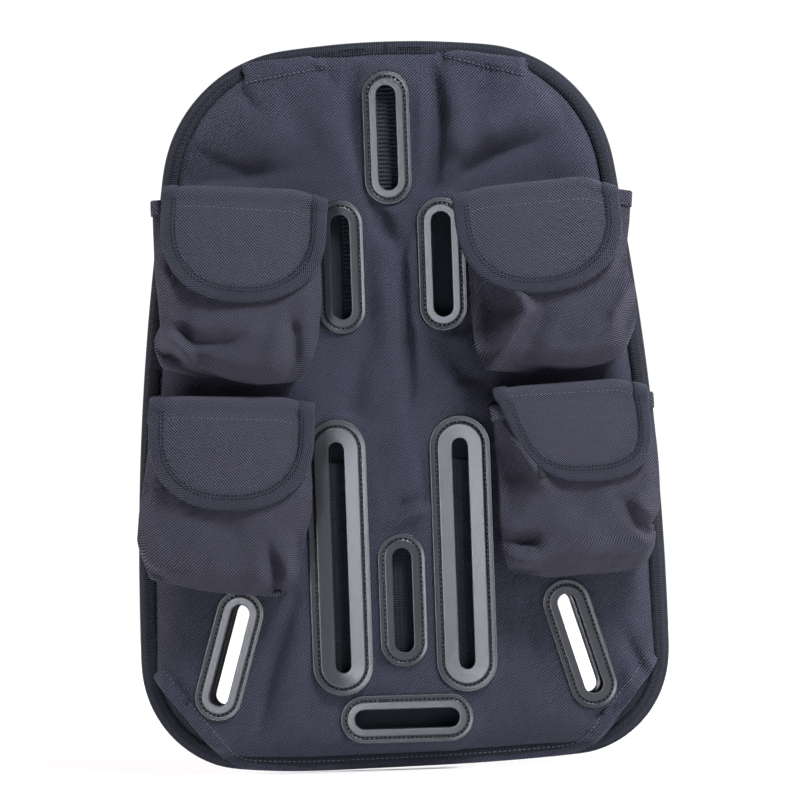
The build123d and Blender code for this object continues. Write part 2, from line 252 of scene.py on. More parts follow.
CORNER_NAMES = ("top_left_hem", "top_right_hem", "bottom_left_hem", "bottom_right_hem")
CORNERS = {name: Corner(name) for name in CORNER_NAMES}


# ---------------------------------------------------------------- shapes from numbers

def ripple(p, scale, seed):
    """Gentle uneven relief between about -1 and 1, with hills about scale mm apart."""
    draw = np.random.default_rng(seed)
    total = np.zeros(len(p))
    for _ in range(7):
        turn = draw.uniform(0, 2 * math.pi)
        stretch = draw.uniform(0.6, 1.6)
        wave = p @ np.array((math.cos(turn), math.sin(turn))) * 2 * math.pi / (scale * stretch)
        bend = p @ np.array((-math.sin(turn), math.cos(turn))) / scale
        total += np.sin(wave + 1.3 * np.sin(bend + draw.uniform(0, 6)) + draw.uniform(0, 6))
    return total / 3.2


def fold(p, points, heights, width):
    """Relief of one fold: a line of points, the height at each of them, and how wide it spreads."""
    best = np.full(len(p), 1e9)
    height = np.zeros(len(p))
    for (start, end), (low, high) in zip(zip(points, points[1:]), zip(heights, heights[1:])):
        start = np.array(start, float)
        run = np.array(end, float) - start
        t = np.clip((p - start) @ run / (run @ run), 0, 1)
        gap = np.linalg.norm(p - start - t[:, None] * run, axis=1)
        nearer = gap < best
        best = np.where(nearer, gap, best)
        height = np.where(nearer, low + (high - low) * t, height)
    power = np.where(height < 0, 1.45, 2.0)
    return height * np.exp(-((best / width) ** power))


# Folds of the front panel: (points (x, z), heights, width)
PANEL_FOLDS = (
    (
        ((24, 188), (27, 166), (28, 150), (25, 128), (18, 103), (8, 87)),
        (0, -2.6, -3.6, -3.2, -2.6, -0.8),
        3.8,
    ),
    (((17, 186), (18.5, 160), (18, 140), (14, 112)), (0, 1.3, 1.4, 0.6), 4.5),
    (((34, 182), (38, 158), (37, 135), (30, 108)), (0.6, 2.0, 2.2, 0.4), 8),
    (
        ((-15, 184), (-19, 166), (-18.5, 148), (-12, 120), (-5, 97), (4, 82)),
        (0, -2.2, -2.6, -2, -2.2, -0.8),
        4.4,
    ),
    (((-30, 180), (-31, 150), (-23, 116)), (0.4, 1.5, 0), 9),
    (((2, 104), (4, 94)), (1.2, 0.6), 5),
    (((5, 82), (6, 62), (6.8, 38), (7, 10), (6, -8)), (-1.2, -3.0, -3.2, -2.2, 0), 3.5),
    (((13.5, 88), (13.5, 65), (12, 40), (11, 8)), (0.8, 2.4, 2.2, 0), 4.8),
    (((-4, 80), (-3.5, 52), (-3, 18)), (0.6, 1.6, 0), 6),
    (((14, 42), (24, 27), (35, 14), (52, 8)), (0, -1.8, -2.2, -1.2), 5.5),
    (((20, 52), (33, 36), (46, 26)), (0, 1.6, 0), 6),
    (((-8, 40), (-19, 20), (-24, -2), (-34, -5)), (0, -1.5, -1.6, 0), 7),
    (((-10, -73), (-4, -64), (4, -60), (14, -57.5), (22, -46)), (0, 1.3, 2.0, 1.6, 0), 2.8),
    (((-7, -64), (2, -54), (10, -51)), (0, -1.4, -0.4), 3.6),
    (((15, -14), (12.5, -32), (13.5, -52)), (0, -2.0, -1.4), 4),
    (((1, -20), (1, -44)), (0.8, 0.4), 7),
    (((32, 133), (56, 145), (88, 158)), (0, 3.5, 0.7), 8),
    (((34, 114), (42, 123), (55, 130), (75, 136), (94, 142)), (-1.0, -2.6, -2.6, -1.8, 0), 5.5),
    (((-108, 146), (-98, 130), (-72, 122)), (-1, -1.8, -0.6), 9),
    (((-72, 168), (-60, 142), (-52, 124)), (0.4, 1.6, 0), 12),
    (((-58, -102), (-66, -125), (-73, -146), (-80, -176)), (-1.2, -2.8, -2.6, -0.6), 3.8),
    (((-49, -108), (-56, -136), (-63, -164)), (0, 1.6, 0.4), 6),
    (((62, -102), (67, -126), (72, -152)), (0, -1.3, 0), 5),
    (((116, -124), (124, -140), (130, -152)), (-0.4, -2.2, -1.2), 2.8),
    (((96, -172), (108, -167), (120, -160)), (-0.4, -2.4, -1.0), 2.8),
    (((106, -162), (117, -152), (127, -138)), (0, 1.8, 0.4), 4),
    (((-128, -132), (-122, -149), (-108, -168)), (0, -1.3, 0), 4),
    (((-80, 177), (-72, 162), (-60, 152)), (-1.6, -1.2, 0), 4),
    (((-124, 132), (-104, 127), (-74, 124), (-46, 127)), (-0.6, -1.9, -1.7, -0.4), 6.5),
    (((-40, 184), (-30, 176), (-27, 160)), (-1.6, -1.4, 0), 4.5),
    (((83, 174), (92, 160), (100, 138)), (-1.8, -1.4, 0), 4),
    (((58, 184), (52, 166), (40, 156)), (-0.8, -1.0, 0), 5),
)

# How far the panel gapes open at each loose corner
MOUTH_LIFT = {"top_left_hem": 6.0, "top_right_hem": 7.6, "bottom_left_hem": 5.8, "bottom_right_hem": 8.0}

# Width of each corner's hem where its edge starts and ends, and how much the top ones narrow at their ends
HEM_SHAPE = {
    "top_left_hem": (10.2, 6.6),
    "top_right_hem": (3.6, 8.8),
    "bottom_left_hem": (6.4, 6.6),
    "bottom_right_hem": (6.4, 6.6),
}
TOP_TAPER = {"top_left_hem": (0.0, 4.6), "top_right_hem": (1.6, 0.0)}

# Lean of each patch: how much its right side and its top stand out, mm per mm
PATCH_LEAN = {
    "top_slot_patch": (0.06, 0.03),
    "neck_slot_patch_left": (-0.07, 0.015),
    "neck_slot_patch_right": (0.095, 0.03),
    "long_slot_patch_left": (-0.015, -0.008),
    "long_slot_patch_right": (0.115, -0.012),
    "middle_slot_patch": (-0.12, -0.01),
    "waist_slot_patch_left": (0.03, -0.01),
    "waist_slot_patch_right": (-0.04, 0.0),
    "crotch_slot_patch": (0.045, -0.035),
}
# Slope of each patch's inner band towards its slot, mm per mm
PATCH_DISH = {
    "top_slot_patch": -0.012,
    "neck_slot_patch_left": -0.01,
    "long_slot_patch_left": 0.125,
    "long_slot_patch_right": 0.045,
    "middle_slot_patch": -0.01,
    "crotch_slot_patch": -0.03,
}
# Depth of the patches' seats, and least depths of the panel over the webbing and over the facing
PATCH_SEAT = 13.6
WEBBING_TOP, FACING_TOP = 9.9, 7.9
# How strongly the panel's valleys and ridges stand out
VALLEY_STRENGTH, RIDGE_STRENGTH = 2.7, 2.3


def facing_depth(p):
    """Depth of the inner facing's outer face, under the webbing and the front panel."""
    d = inset(p)
    rise = 1 - np.exp(-np.clip(d - 5, 0, None) / 5)
    return RIM - 1.4 + (FACING - RIM + 1.7) * rise + 0.12 * ripple(p, 30, 12) * smooth(d, 8, 16)


def patch_plane(slot, p):
    """Depth of the flat seat under a patch."""
    right, top = PATCH_LEAN[slot.name]
    reach = p - slot.centre
    return PATCH_SEAT + reach[:, 0] * right + reach[:, 1] * top


def panel_depth(p):
    """Depth of the front panel's outer face at points (x, z)."""
    d = inset(p)
    depth = RIM - 0.6 + (PANEL - RIM + 0.4) * (1 - np.exp(-np.clip(d - 6.5, 0, None) / 6.2))
    for corner in CORNERS.values():
        share = np.clip(corner.share(p), 0, 1)
        arch = 0.8 + 0.2 * np.sin(share * math.pi)
        near = np.exp(-(np.clip(-corner.outside(p), 0, None) / 15) ** 2)
        inside = smooth(share, -0.05, 0.1) * smooth(1.05 - share, 0, 0.15)
        room = np.clip(PANEL - 0.6 - depth, 0, None)
        depth += np.minimum(MOUTH_LIFT[corner.name] * arch, room) * near * inside
    relief = sum(fold(p, *each) for each in PANEL_FOLDS)
    relief = np.where(relief < 0, VALLEY_STRENGTH, RIDGE_STRENGTH) * relief
    relief += 0.8 * ripple(p, 46, 3) + 0.3 * ripple(p, 17, 4)
    depth += relief * smooth(d, 7, 18)
    over_webbing = (1 - smooth(np.abs(p[:, 0]), 26, 30)) * smooth(d, 14, 18)
    depth += np.clip(WEBBING_TOP - depth, 0, None) * over_webbing
    floor = np.minimum(FACING_TOP, facing_depth(p) + 1.0)
    depth += np.clip(floor - depth, 0, None) * smooth(d, 9, 12)
    for slot in SLOTS:
        beyond = slot.distance(p) - slot.border
        seat = 1 - smooth(beyond, -0.5, 6.5)
        depth = depth * (1 - seat) + patch_plane(slot, p) * seat
    return depth


def slopes(field, p, step):
    """Slopes of a field over points (x, z), along x and along z."""
    return [(field(p + move) - field(p - move)) / (2 * step) for move in np.eye(2) * step]


def normals_of(depth_at, p):
    """Unit normals (x, depth, z) of a relief depth_at(p)."""
    dx, dz = slopes(depth_at, p, 0.4)
    n = np.column_stack((-dx, np.ones(len(p)), -dz))
    return n / np.linalg.norm(n, axis=1)[:, None]


def grid_quads(rows, columns):
    """The quads of a grid of points that is stored row by row."""
    index = np.arange(rows * columns).reshape(rows, columns)
    return np.stack((index[:-1, :-1], index[:-1, 1:], index[1:, 1:], index[1:, :-1]), -1).reshape(-1, 4)


# Order of a quad's corners that turns its face round
TURNED = [0, 3, 2, 1]


def trimmed_grid(field, low, high, step):
    """A square grid cut to where field is above 0, its edge moved onto field = 0: points and quads."""
    xs = np.arange(low[0], high[0] + step, step)
    zs = np.arange(low[1], high[1] + step, step)
    grid = np.array(np.meshgrid(xs, zs)).reshape(2, -1).T
    quads = grid_quads(len(zs), len(xs))
    quads = quads[field(grid[quads].mean(1)) > 0]
    uses = np.bincount(quads.ravel(), minlength=len(grid))
    edge = (uses > 0) & (uses < 4)
    p = grid[edge]
    for _ in range(4):
        gx, gz = slopes(field, p, 0.2)
        size = np.clip(gx**2 + gz**2, 0.2, None)
        p = p - np.clip(field(p) / size, -step, step)[:, None] * np.column_stack((gx, gz))
    grid[edge] = p
    used = np.flatnonzero(uses)
    renumber = np.full(len(grid), -1)
    renumber[used] = np.arange(len(used))
    return grid[used], renumber[quads]


# ---------------------------------------------------------------- making meshes

def world(points):
    """(x, depth, z) in mm to metres in the frame."""
    return np.asarray(points, float) * (MM, -MM, MM)


def make_piece(name, points, faces, material, weave=None):
    """A mesh object from points (x, depth, z), with its material and the weave coordinates in mm."""
    mesh = bpy.data.meshes.new(name)
    mesh.from_pydata(world(points).tolist(), [], [list(map(int, f)) for f in faces])
    weave = points[:, [0, 2]] if weave is None else weave
    layer = mesh.attributes.new("weave", "FLOAT_VECTOR", "POINT")
    vectors = np.column_stack((weave, np.zeros(len(points))))
    layer.data.foreach_set("vector", vectors.astype(np.float32).ravel())
    mesh.materials.append(material)
    mesh.polygons.foreach_set("use_smooth", np.ones(len(mesh.polygons), bool))
    mesh.update()
    piece = bpy.data.objects.new(name, mesh)
    bpy.context.scene.collection.objects.link(piece)
    return piece


def face_outwards(piece):
    """Turns all faces of a closed piece outwards."""
    bm = bmesh.new()
    bm.from_mesh(piece.data)
    bmesh.ops.recalc_face_normals(bm, faces=bm.faces)
    bm.to_mesh(piece.data)
    bm.free()
    return piece


def sheet_piece(name, points, faces, normals, thick, material, weave=None):
    """A closed sheet: the outer face, an inner face thick mm behind it, and the rim between."""
    count = len(points)
    faces = np.asarray(faces)
    inner = points - normals * thick
    edges = {}
    for f in faces:
        for a, b in zip(f, np.roll(f, -1)):
            edges[(a, b)] = True
    rim = [(b, a, a + count, b + count) for a, b in edges if (b, a) not in edges]
    every = [tuple(f) for f in faces] + [tuple(f[::-1] + count) for f in faces] + rim
    weave = points[:, [0, 2]] if weave is None else weave
    piece = make_piece(name, np.vstack((points, inner)), every, material, np.vstack((weave, weave)))
    return face_outwards(piece)


def swept_piece(name, rows, material, weave=None, closed=False):
    """A solid swept along rows of cross-section points, rows[i][j] = (x, depth, z)."""
    rows = np.asarray(rows, float)
    n, m = rows.shape[:2]
    faces = []
    for i in range(n if closed else n - 1):
        for j in range(m):
            k = (i + 1) % n
            l = (j + 1) % m
            faces.append((i * m + j, i * m + l, k * m + l, k * m + j))
    if not closed:
        faces.append(tuple(range(m)))
        faces.append(tuple((n - 1) * m + j for j in reversed(range(m))))
    weave = rows[:, :, [0, 2]] if weave is None else weave
    return face_outwards(make_piece(name, rows.reshape(-1, 3), faces, material, weave.reshape(-1, 2)))


# Kinds of stitches: (pitch, length, radius)
TOP_HEM_STITCH = (2.5, 1.7, 0.22)
BOTTOM_HEM_STITCH = (2.6, 1.8, 0.24)
MOUTH_STITCH = (2.4, 1.6, 0.2)
EDGE_STITCH = (2.6, 1.7, 0.22)
TACK_STITCH = (1.25, 0.95, 0.42)
PATCH_STITCH = (2.4, 1.6, 0.48)
REAR_PATCH_STITCH = (2.1, 1.45, 0.27)
FLAP_TAPE_STITCH = (2.0, 1.35, 0.33)
FLAP_LINE_STITCH = (2.5, 1.6, 0.17)

STITCH_SIDES = 6
STITCH_SINK = 0.1
# Rings of a stitch: share of its length, share of its radius, and height in radii
STITCH_RINGS = ((0.12, 0.75, 0.1), (0.5, 1.0, 0.45), (0.88, 0.75, 0.1))


def stitch_mesh(line, normals, pitch, length, radius, seed):
    """Separate stitches along a line on a surface: points and faces of many small spindles."""
    line = np.asarray(line, float)
    at = run_along(line)
    count = max(1, int(at[-1] / pitch))
    draw = np.random.default_rng(seed)
    points, faces = [], []
    angles = np.arange(STITCH_SIDES) * 2 * math.pi / STITCH_SIDES
    for mid in (np.arange(count) + 0.5) * at[-1] / count:
        mid += draw.uniform(-0.06, 0.06) * pitch
        size = length * draw.uniform(0.88, 1.08)
        ends = [[np.interp(mid + s * size / 2, at, line[:, i]) for i in range(3)] for s in (-1, 1)]
        start, end = np.array(ends)
        n = np.array([np.interp(mid, at, normals[:, i]) for i in range(3)])
        n /= np.linalg.norm(n)
        along = (end - start) / max(np.linalg.norm(end - start), 1e-6)
        side = np.cross(along, n)
        side /= np.linalg.norm(side)
        up = np.cross(side, along)
        base = len(points)
        points.append(start - up * radius)
        for share, swell, rise in STITCH_RINGS:
            middle = start + (end - start) * share + up * radius * (rise - STITCH_SINK / radius * 0.3)
            for angle in angles:
                points.append(middle + (side * math.cos(angle) + up * math.sin(angle)) * radius * swell)
        points.append(end - up * radius)
        for k in range(STITCH_SIDES):
            l = (k + 1) % STITCH_SIDES
            faces.append((base, base + 1 + l, base + 1 + k))
            for ring in (0, 1):
                low = base + 1 + ring * STITCH_SIDES
                faces.append((low + k, low + l, low + STITCH_SIDES + l, low + STITCH_SIDES + k))
            last = base + 1 + 2 * STITCH_SIDES
            faces.append((base + 1 + 3 * STITCH_SIDES, last + k, last + l))
    return np.array(points), faces


def stitch_piece(name, seams, material):
    """One piece holding the stitches of several seams, each (line, normals, *kind of stitch)."""
    points, faces = [], []
    total = 0
    for number, seam in enumerate(seams):
        p, f = stitch_mesh(*seam, seed=number + 11)
        points.append(p)
        faces += [tuple(v + total for v in face) for face in f]
        total += len(p)
    return face_outwards(make_piece(name, np.vstack(points), faces, material))


# ---------------------------------------------------------------- materials

class Nodes:
    """A short way to write a node material."""

    def __init__(self, name):
        self.material = bpy.data.materials.new(name)
        self.material.use_nodes = True
        self.tree = self.material.node_tree
        self.shader = next(n for n in self.tree.nodes if n.type == "BSDF_PRINCIPLED")

    def add(self, kind, inputs=(), **settings):
        node = self.tree.nodes.new(kind)
        for key, value in settings.items():
            setattr(node, key, value)
        for key, value in dict(inputs).items():
            if isinstance(value, bpy.types.NodeSocket):
                self.tree.links.new(value, node.inputs[key])
            else:
                node.inputs[key].default_value = value
        return node

    def math(self, operation, a, b=0.0, c=0.0):
        node = self.add("ShaderNodeMath", {0: a, 1: b, 2: c}, operation=operation)
        return node.outputs[0]

    def mix(self, share, a, b):
        node = self.add("ShaderNodeMix", {0: share, 6: a, 7: b}, data_type="RGBA")
        return node.outputs[2]

    def weave(self):
        return self.add("ShaderNodeAttribute", attribute_name="weave").outputs["Vector"]

    def position(self):
        return self.add("ShaderNodeTexCoord").outputs["Object"]

    def noise(self, vector, scale, detail=3.0, roughness=0.55):
        inputs = {"Vector": vector, "Scale": scale, "Detail": detail, "Roughness": roughness}
        return self.add("ShaderNodeTexNoise", inputs).outputs["Fac"]

    def bands(self, vector, period, turn=0.0, distortion=0.0, detail_scale=1.0):
        """Soft stripes, period mm apart, turned by an angle in degrees."""
        inputs = {"Vector": vector, "Angle": math.radians(turn)}
        turned = self.add("ShaderNodeVectorRotate", inputs, rotation_type="Z_AXIS").outputs[0]
        inputs = {"Vector": turned, "Scale": math.pi / 10 / period, "Distortion": distortion}
        inputs["Detail Scale"] = detail_scale
        return self.add("ShaderNodeTexWave", inputs, wave_type="BANDS").outputs["Fac"]

    def cells(self, vector, scale, randomness=1.0):
        inputs = {"Vector": vector, "Scale": scale, "Randomness": randomness}
        return self.add("ShaderNodeTexVoronoi", inputs).outputs["Distance"]

    def set(self, **values):
        for key, value in values.items():
            socket = self.shader.inputs[key.replace("_", " ")]
            if isinstance(value, bpy.types.NodeSocket):
                self.tree.links.new(value, socket)
            else:
                socket.default_value = value

    def shade(self, share, colour, low, high):
        """A base colour that goes from low to high times a colour."""
        self.set(Base_Color=self.mix(share, scaled(colour, low), scaled(colour, high)))

    def rough(self, grain, by, base):
        """A roughness that follows the grain."""
        self.set(Roughness=self.math("MULTIPLY_ADD", grain, by, base))

    def bump(self, height, strength, distance):
        inputs = {"Height": height, "Strength": strength, "Distance": distance * MM}
        self.set(Normal=self.add("ShaderNodeBump", inputs).outputs[0])


def rgb(red, green, blue):
    """A full colour for a node."""
    return (red, green, blue, 1.0)


def scaled(colour, by):
    """A colour made brighter or darker."""
    return rgb(*(min(1.0, c * by) for c in colour[:3]))


def twill(name, colour, period, turn, contrast=1.5, sheen=0.03):
    """Diagonal weave with crossing yarns, faded patches and a soft sheen."""
    m = Nodes(name)
    vector = m.weave()
    ribs = m.bands(vector, period, turn, 0.55, 2.5)
    yarns = m.bands(vector, period * 0.72, turn + 74, 0.6, 2.5)
    cloth = m.math("MULTIPLY_ADD", yarns, 0.5, m.math("MULTIPLY", ribs, 0.5))
    grain = m.noise(vector, 1.5, 5.0, 0.85)
    uneven = m.noise(vector, 0.02, 4.0)
    specks = m.math("MULTIPLY_ADD", m.math("SUBTRACT", grain, 0.5), 1.7, 0.5)
    light = m.math("MULTIPLY_ADD", m.math("SUBTRACT", cloth, 0.5), contrast, specks)
    inputs = {"Value": light, "From Min": 0.15, "From Max": 0.85, "To Min": 0.0, "To Max": 1.0}
    shade = m.add("ShaderNodeMapRange", inputs).outputs[0]
    fibre = m.mix(shade, scaled(colour, 0.05), scaled(colour, 2.1))
    fade = m.math("MULTIPLY", uneven, 0.55)
    m.set(Base_Color=m.mix(fade, fibre, m.mix(shade, scaled(colour, 0.2), scaled(colour, 2.9))))
    m.rough(grain, 0.2, 0.74)
    m.set(Sheen_Weight=sheen, Sheen_Roughness=0.45, Specular_IOR_Level=0.14)
    m.set(Sheen_Tint=rgb(0.80, 0.84, 1.0))
    m.bump(m.math("MULTIPLY_ADD", grain, 0.6, cloth), 1.0, 0.6)
    return m.material


def ribbed(name, colour, period, turn, cross=1.3, strength=0.8, contrast=0.6, sheen=0.25):
    """Woven tape or webbing: cross ribs broken up by the warp."""
    m = Nodes(name)
    vector = m.weave()
    ribs = m.bands(vector, period, turn, 0.3, 2.0)
    warp = m.bands(vector, cross, turn + 90, 0.4, 1.5)
    grain = m.noise(vector, 1.6, 3.0, 0.65)
    cloth = m.math("MULTIPLY", ribs, m.math("MULTIPLY_ADD", warp, 0.75, 0.25))
    light = m.math("MULTIPLY_ADD", cloth, contrast, m.math("MULTIPLY", grain, 0.5))
    m.shade(light, colour, 0.2, 2.2)
    m.rough(grain, 0.2, 0.66)
    m.set(Sheen_Weight=sheen, Sheen_Roughness=0.4, Specular_IOR_Level=0.2)
    m.bump(m.math("MULTIPLY_ADD", grain, 0.35, cloth), strength, 0.35)
    return m.material


def moulded_rubber(name, colour):
    """Satin moulded rubber with a fine sparkling grain and faint clouds."""
    m = Nodes(name)
    vector = m.weave()
    grain = m.noise(vector, 1.5, 3.0, 0.7)
    cloud = m.noise(vector, 0.05, 3.0)
    mottle = m.math("MULTIPLY_ADD", cloud, 0.5, m.math("MULTIPLY", grain, 0.5))
    m.shade(mottle, colour, 0.72, 1.25)
    m.rough(grain, 0.3, 0.18)
    m.set(Specular_IOR_Level=0.4)
    m.bump(grain, 1.0, 0.11)
    return m.material


def thread(name, colour):
    """Twisted sewing thread."""
    m = Nodes(name)
    grain = m.noise(m.position(), 2600.0, 2.0)
    m.shade(grain, colour, 0.6, 1.4)
    m.rough(grain, 0.25, 0.6)
    m.set(Sheen_Weight=0.02, Specular_IOR_Level=0.15)
    m.bump(grain, 0.4, 0.1)
    return m.material


def fuzz(name, colour, scale, strength):
    """Hook or loop fastener: a dense pile."""
    m = Nodes(name)
    vector = m.weave()
    grain = m.noise(vector, 3.0, 5.0, 0.8)
    pile = m.math("MULTIPLY_ADD", grain, 0.6, m.cells(vector, scale, 0.9))
    m.shade(pile, colour, 1.7, 0.5)
    m.rough(grain, 0.15, 0.8)
    m.set(Sheen_Weight=0.03, Sheen_Roughness=0.5)
    m.bump(pile, strength, 0.6)
    return m.material


def foam(name, colour):
    """Closed-cell foam sheet."""
    m = Nodes(name)
    cell = m.cells(m.position(), 900.0)
    m.shade(cell, colour, 0.6, 1.5)
    m.rough(cell, 0.2, 0.75)
    m.bump(cell, 0.5, 0.3)
    return m.material


# Heights of a rib of the coarse and of the fine webbing
WEAVE_ROW, FINE_ROW = 2.2, 1.25
PANEL_COLOUR = rgb(0.0345, 0.0365, 0.055)
POCKET_COLOUR = rgb(0.038, 0.0375, 0.054)
panel_twill = twill("panel_twill", PANEL_COLOUR, 1.22, 42)
pocket_twill = twill("pocket_twill", POCKET_COLOUR, 1.18, 42)
flap_twill = twill("flap_twill", scaled(POCKET_COLOUR, 1.12), 1.18, 42)
bound_tape = twill("bound_tape", rgb(0.029, 0.032, 0.046), 1.1, 60, 0.9, 0.05)
edge_tape = ribbed("edge_tape", rgb(0.013, 0.015, 0.0225), 1.2, 0, 1.9, 0.9, 1.0, 0.02)
coarse_webbing = ribbed("coarse_webbing", rgb(0.015, 0.0185, 0.024), WEAVE_ROW, 90, 1.35, 1.0, 1.6, 0.02)
fine_webbing = ribbed("fine_webbing", rgb(0.008, 0.012, 0.0155), FINE_ROW, 90, 2.6, 1.0, 1.4, 0.02)
plain_black = twill("plain_black", rgb(0.022, 0.028, 0.037), 0.8, 20, 0.7, 0.03)
back_fabric = twill("back_fabric", rgb(0.036, 0.038, 0.050), 1.2, 45, 0.8, 0.05)
patch_rubber = moulded_rubber("patch_rubber", rgb(0.0105, 0.0120, 0.0150))
black_thread = thread("black_thread", rgb(0.006, 0.007, 0.009))
pale_thread = thread("pale_thread", rgb(0.13, 0.135, 0.165))
tack_thread = thread("tack_thread", rgb(0.030, 0.036, 0.045))
loop_pile = fuzz("loop_pile", rgb(0.0075, 0.0095, 0.012), 1.1, 0.9)
hook_pile = fuzz("hook_pile", rgb(0.008, 0.009, 0.010), 0.8, 1.0)
foam_cells = foam("foam_cells", rgb(0.035, 0.035, 0.038))


def place(piece, body, slot, *nodes):
    """Sends a piece to its body and hides the CAD nodes it stands for; its material slot is not used."""
    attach(piece, body)
    if nodes:
        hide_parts(*nodes)


# ---------------------------------------------------------------- back cover, facing and webbing

WAIST = [s for s in SLOTS if s.name.startswith("waist")]
# How much nearer the middle the rear openings lie than in the CAD
REAR_SHIFT = 2.0


def rear_centre(slot):
    """Centre of the opening in the back behind a waist slot."""
    centre = long_axis(node_points("rear_" + slot.name)[:, [0, 2]])[0]
    return centre * (1 - REAR_SHIFT / abs(centre[0]), 1)


REAR = {slot.name: rear_centre(slot) for slot in WAIST}


def rear_distance(slot, p):
    """Distance outside a rear opening's edge."""
    return slot.distance(p - REAR[slot.name] + slot.centre)


def back_depth(p):
    """Depth of the padded back's outer face: level in the middle and drawn in to the edge tape."""
    d = inset(p)
    depth = 0.9 - 1.5 * (1 - np.exp(-np.clip(d - 7.0, 0, None) / 9))
    depth -= (0.35 * ripple(p, 60, 8) + 0.12 * ripple(p, 20, 9)) * smooth(d, 8, 25)
    for slot in WAIST:
        beyond = rear_distance(slot, p) - slot.border
        seat = 1 - smooth(beyond, -0.5, 5)
        depth = depth * (1 - seat) + 0.2 * seat
    return depth


LOW, HIGH = EDGE.min(0), EDGE.max(0)
# Size of the quads of each large sheet
BACK_STEP, FACING_STEP = 2.2, 2.6
PANEL_STEP = 1.55
# Thickness of the pad's outer cloth, of its inner facing and of its webbing
PANEL_CLOTH, FACING_CLOTH, WEBBING_THICK = 0.8, 0.6, 1.5


def laid_sheet(name, field, depth_at, step, thick, material, back=False):
    """A closed sheet over the pad where field is above 0, at the depths of depth_at, or the back's sheet."""
    p, quads = trimmed_grid(field, LOW, HIGH, step)
    n = normals_of(depth_at, p)
    points = at_depth(p, depth_at(p))
    if back:
        quads, n = quads[:, ::-1], -n
    return sheet_piece(name, points, quads, n, thick, material)


def back_field(p):
    """Above 0 where the back cover is: inside the pad's edge and outside both rear openings."""
    rear = [rear_distance(s, p) - 1.5 for s in WAIST]
    return np.minimum.reduce([inset(p) - 1.2, *rear])


def make_back_cover():
    piece = laid_sheet("back_cover_cloth", back_field, back_depth, BACK_STEP, PANEL_CLOTH, back_fabric, True)
    place(piece, "root", "back_fabric", "back_cover")


def facing_field(p):
    """Above 0 where the inner facing is."""
    return np.minimum.reduce([inset(p) - 1.5, *[s.distance(p) - 0.3 for s in WAIST]])


def make_inner_facing():
    thick = FACING_CLOTH
    piece = laid_sheet("inner_facing_cloth", facing_field, facing_depth, FACING_STEP, thick, plain_black)
    place(piece, "root", "facing", "inner_facing")


def make_webbing(node, pitch, height, step, material, widen=(0, 0)):
    """A woven strap with real cross ribs, widened at its left side and narrowed at its right."""
    low, high = node_points(node).min(0), node_points(node).max(0)
    low[0] -= widen[0]
    high[0] -= widen[1]
    xs = np.linspace(low[0], high[0], int((high[0] - low[0]) / step[0]) + 1)
    zs = np.linspace(low[2], high[2], int((high[2] - low[2]) / step[1]) + 1)
    p = np.array(np.meshgrid(xs, zs)).reshape(2, -1).T
    row = np.floor(p[:, 1] / pitch)
    rib = np.abs(np.sin(math.pi * p[:, 1] / pitch))
    knuckle = 0.6 + 0.4 * np.cos(2 * math.pi * p[:, 0] / 1.35 + math.pi * row)
    edge = np.minimum(p[:, 0] - low[0], high[0] - p[:, 0])
    depth = high[1] - 0.4 * (1 - smooth(edge, 0, 1.6)) + height * rib * knuckle
    quads = grid_quads(len(zs), len(xs))
    points = at_depth(p, depth)
    piece = sheet_piece(node + "_weave", points, quads, straight_normals(p), WEBBING_THICK, material)
    place(piece, "root", "webbing", node)


make_back_cover()
make_inner_facing()
make_webbing("centre_webbing", WEAVE_ROW, 0.9, (0.9, 0.42), coarse_webbing, (1.0, 3.2))
make_webbing("lumbar_webbing", FINE_ROW, 0.3, (2.4, 0.4), fine_webbing)
foam_node = frame["nodes"]["back_foam"]
foam_node.data.materials.clear()
foam_node.data.materials.append(foam_cells)


# ---------------------------------------------------------------- front panel and its hems

def at_corner(p):
    """1 along the loose corners' hemmed edges, 0 elsewhere."""
    free = np.zeros(len(p))
    for corner in CORNERS.values():
        share = corner.share(p)
        beside = smooth(share, -0.12, 0.02) * smooth(1.12 - share, 0, 0.14)
        free = np.maximum(free, beside * smooth(corner.outside(p), -9, -2))
    return free


def panel_field(p):
    """Above 0 where the front panel is: under the tape, out to its hems, and outside the slots."""
    corners = [-c.outside(p) - 0.6 for c in CORNERS.values()]
    under_tape = 3.5 - 2.9 * at_corner(p)
    return np.minimum.reduce([inset(p) - under_tape, *corners, *[s.distance(p) - 1.6 for s in SLOTS]])


def make_front_panel():
    piece = laid_sheet("front_panel_cloth", panel_field, panel_depth, PANEL_STEP, PANEL_CLOTH, panel_twill)
    place(piece, "root", "panel_fabric", "front_panel")


def smoothed(line, rounds):
    """A line with its kinks evened out and its ends kept."""
    line = np.array(line)
    for _ in range(rounds):
        line[1:-1] = (line[:-2] + 2 * line[1:-1] + line[2:]) / 4
    return line


def corner_line(corner, trim=0.0):
    """Points along a loose corner's free edge, from its low end to its high end."""
    places = np.linspace(corner.low + trim, corner.high - trim, 48)
    inside = np.interp(places, (corner.low, corner.high), corner.drawn_in)
    return places[:, None] * corner.along + corner.out * (corner.reach - inside)[:, None]


def bottom_line():
    """The free edge of the panel's bottom: down the left corner, along the bottom, up the right corner."""
    left = corner_line(CORNERS["bottom_left_hem"])
    right = corner_line(CORNERS["bottom_right_hem"])
    left = left[::-1] if left[0, 1] < left[-1, 1] else left
    right = right if right[0, 1] < right[-1, 1] else right[::-1]
    between = (EDGE[:, 0] > left[-1, 0] + 3) & (EDGE[:, 0] < right[0, 0] - 3)
    below = np.flatnonzero((EDGE[:, 1] < -100) & between)
    below = below[np.argsort(EDGE[below, 0])]
    strip = EDGE[below] - EDGE_OUT[below] * 0.4
    line = resample(np.vstack((left, strip, right)), 420, closed=False)
    return smoothed(line, 90), left[-1, 0], right[0, 0]


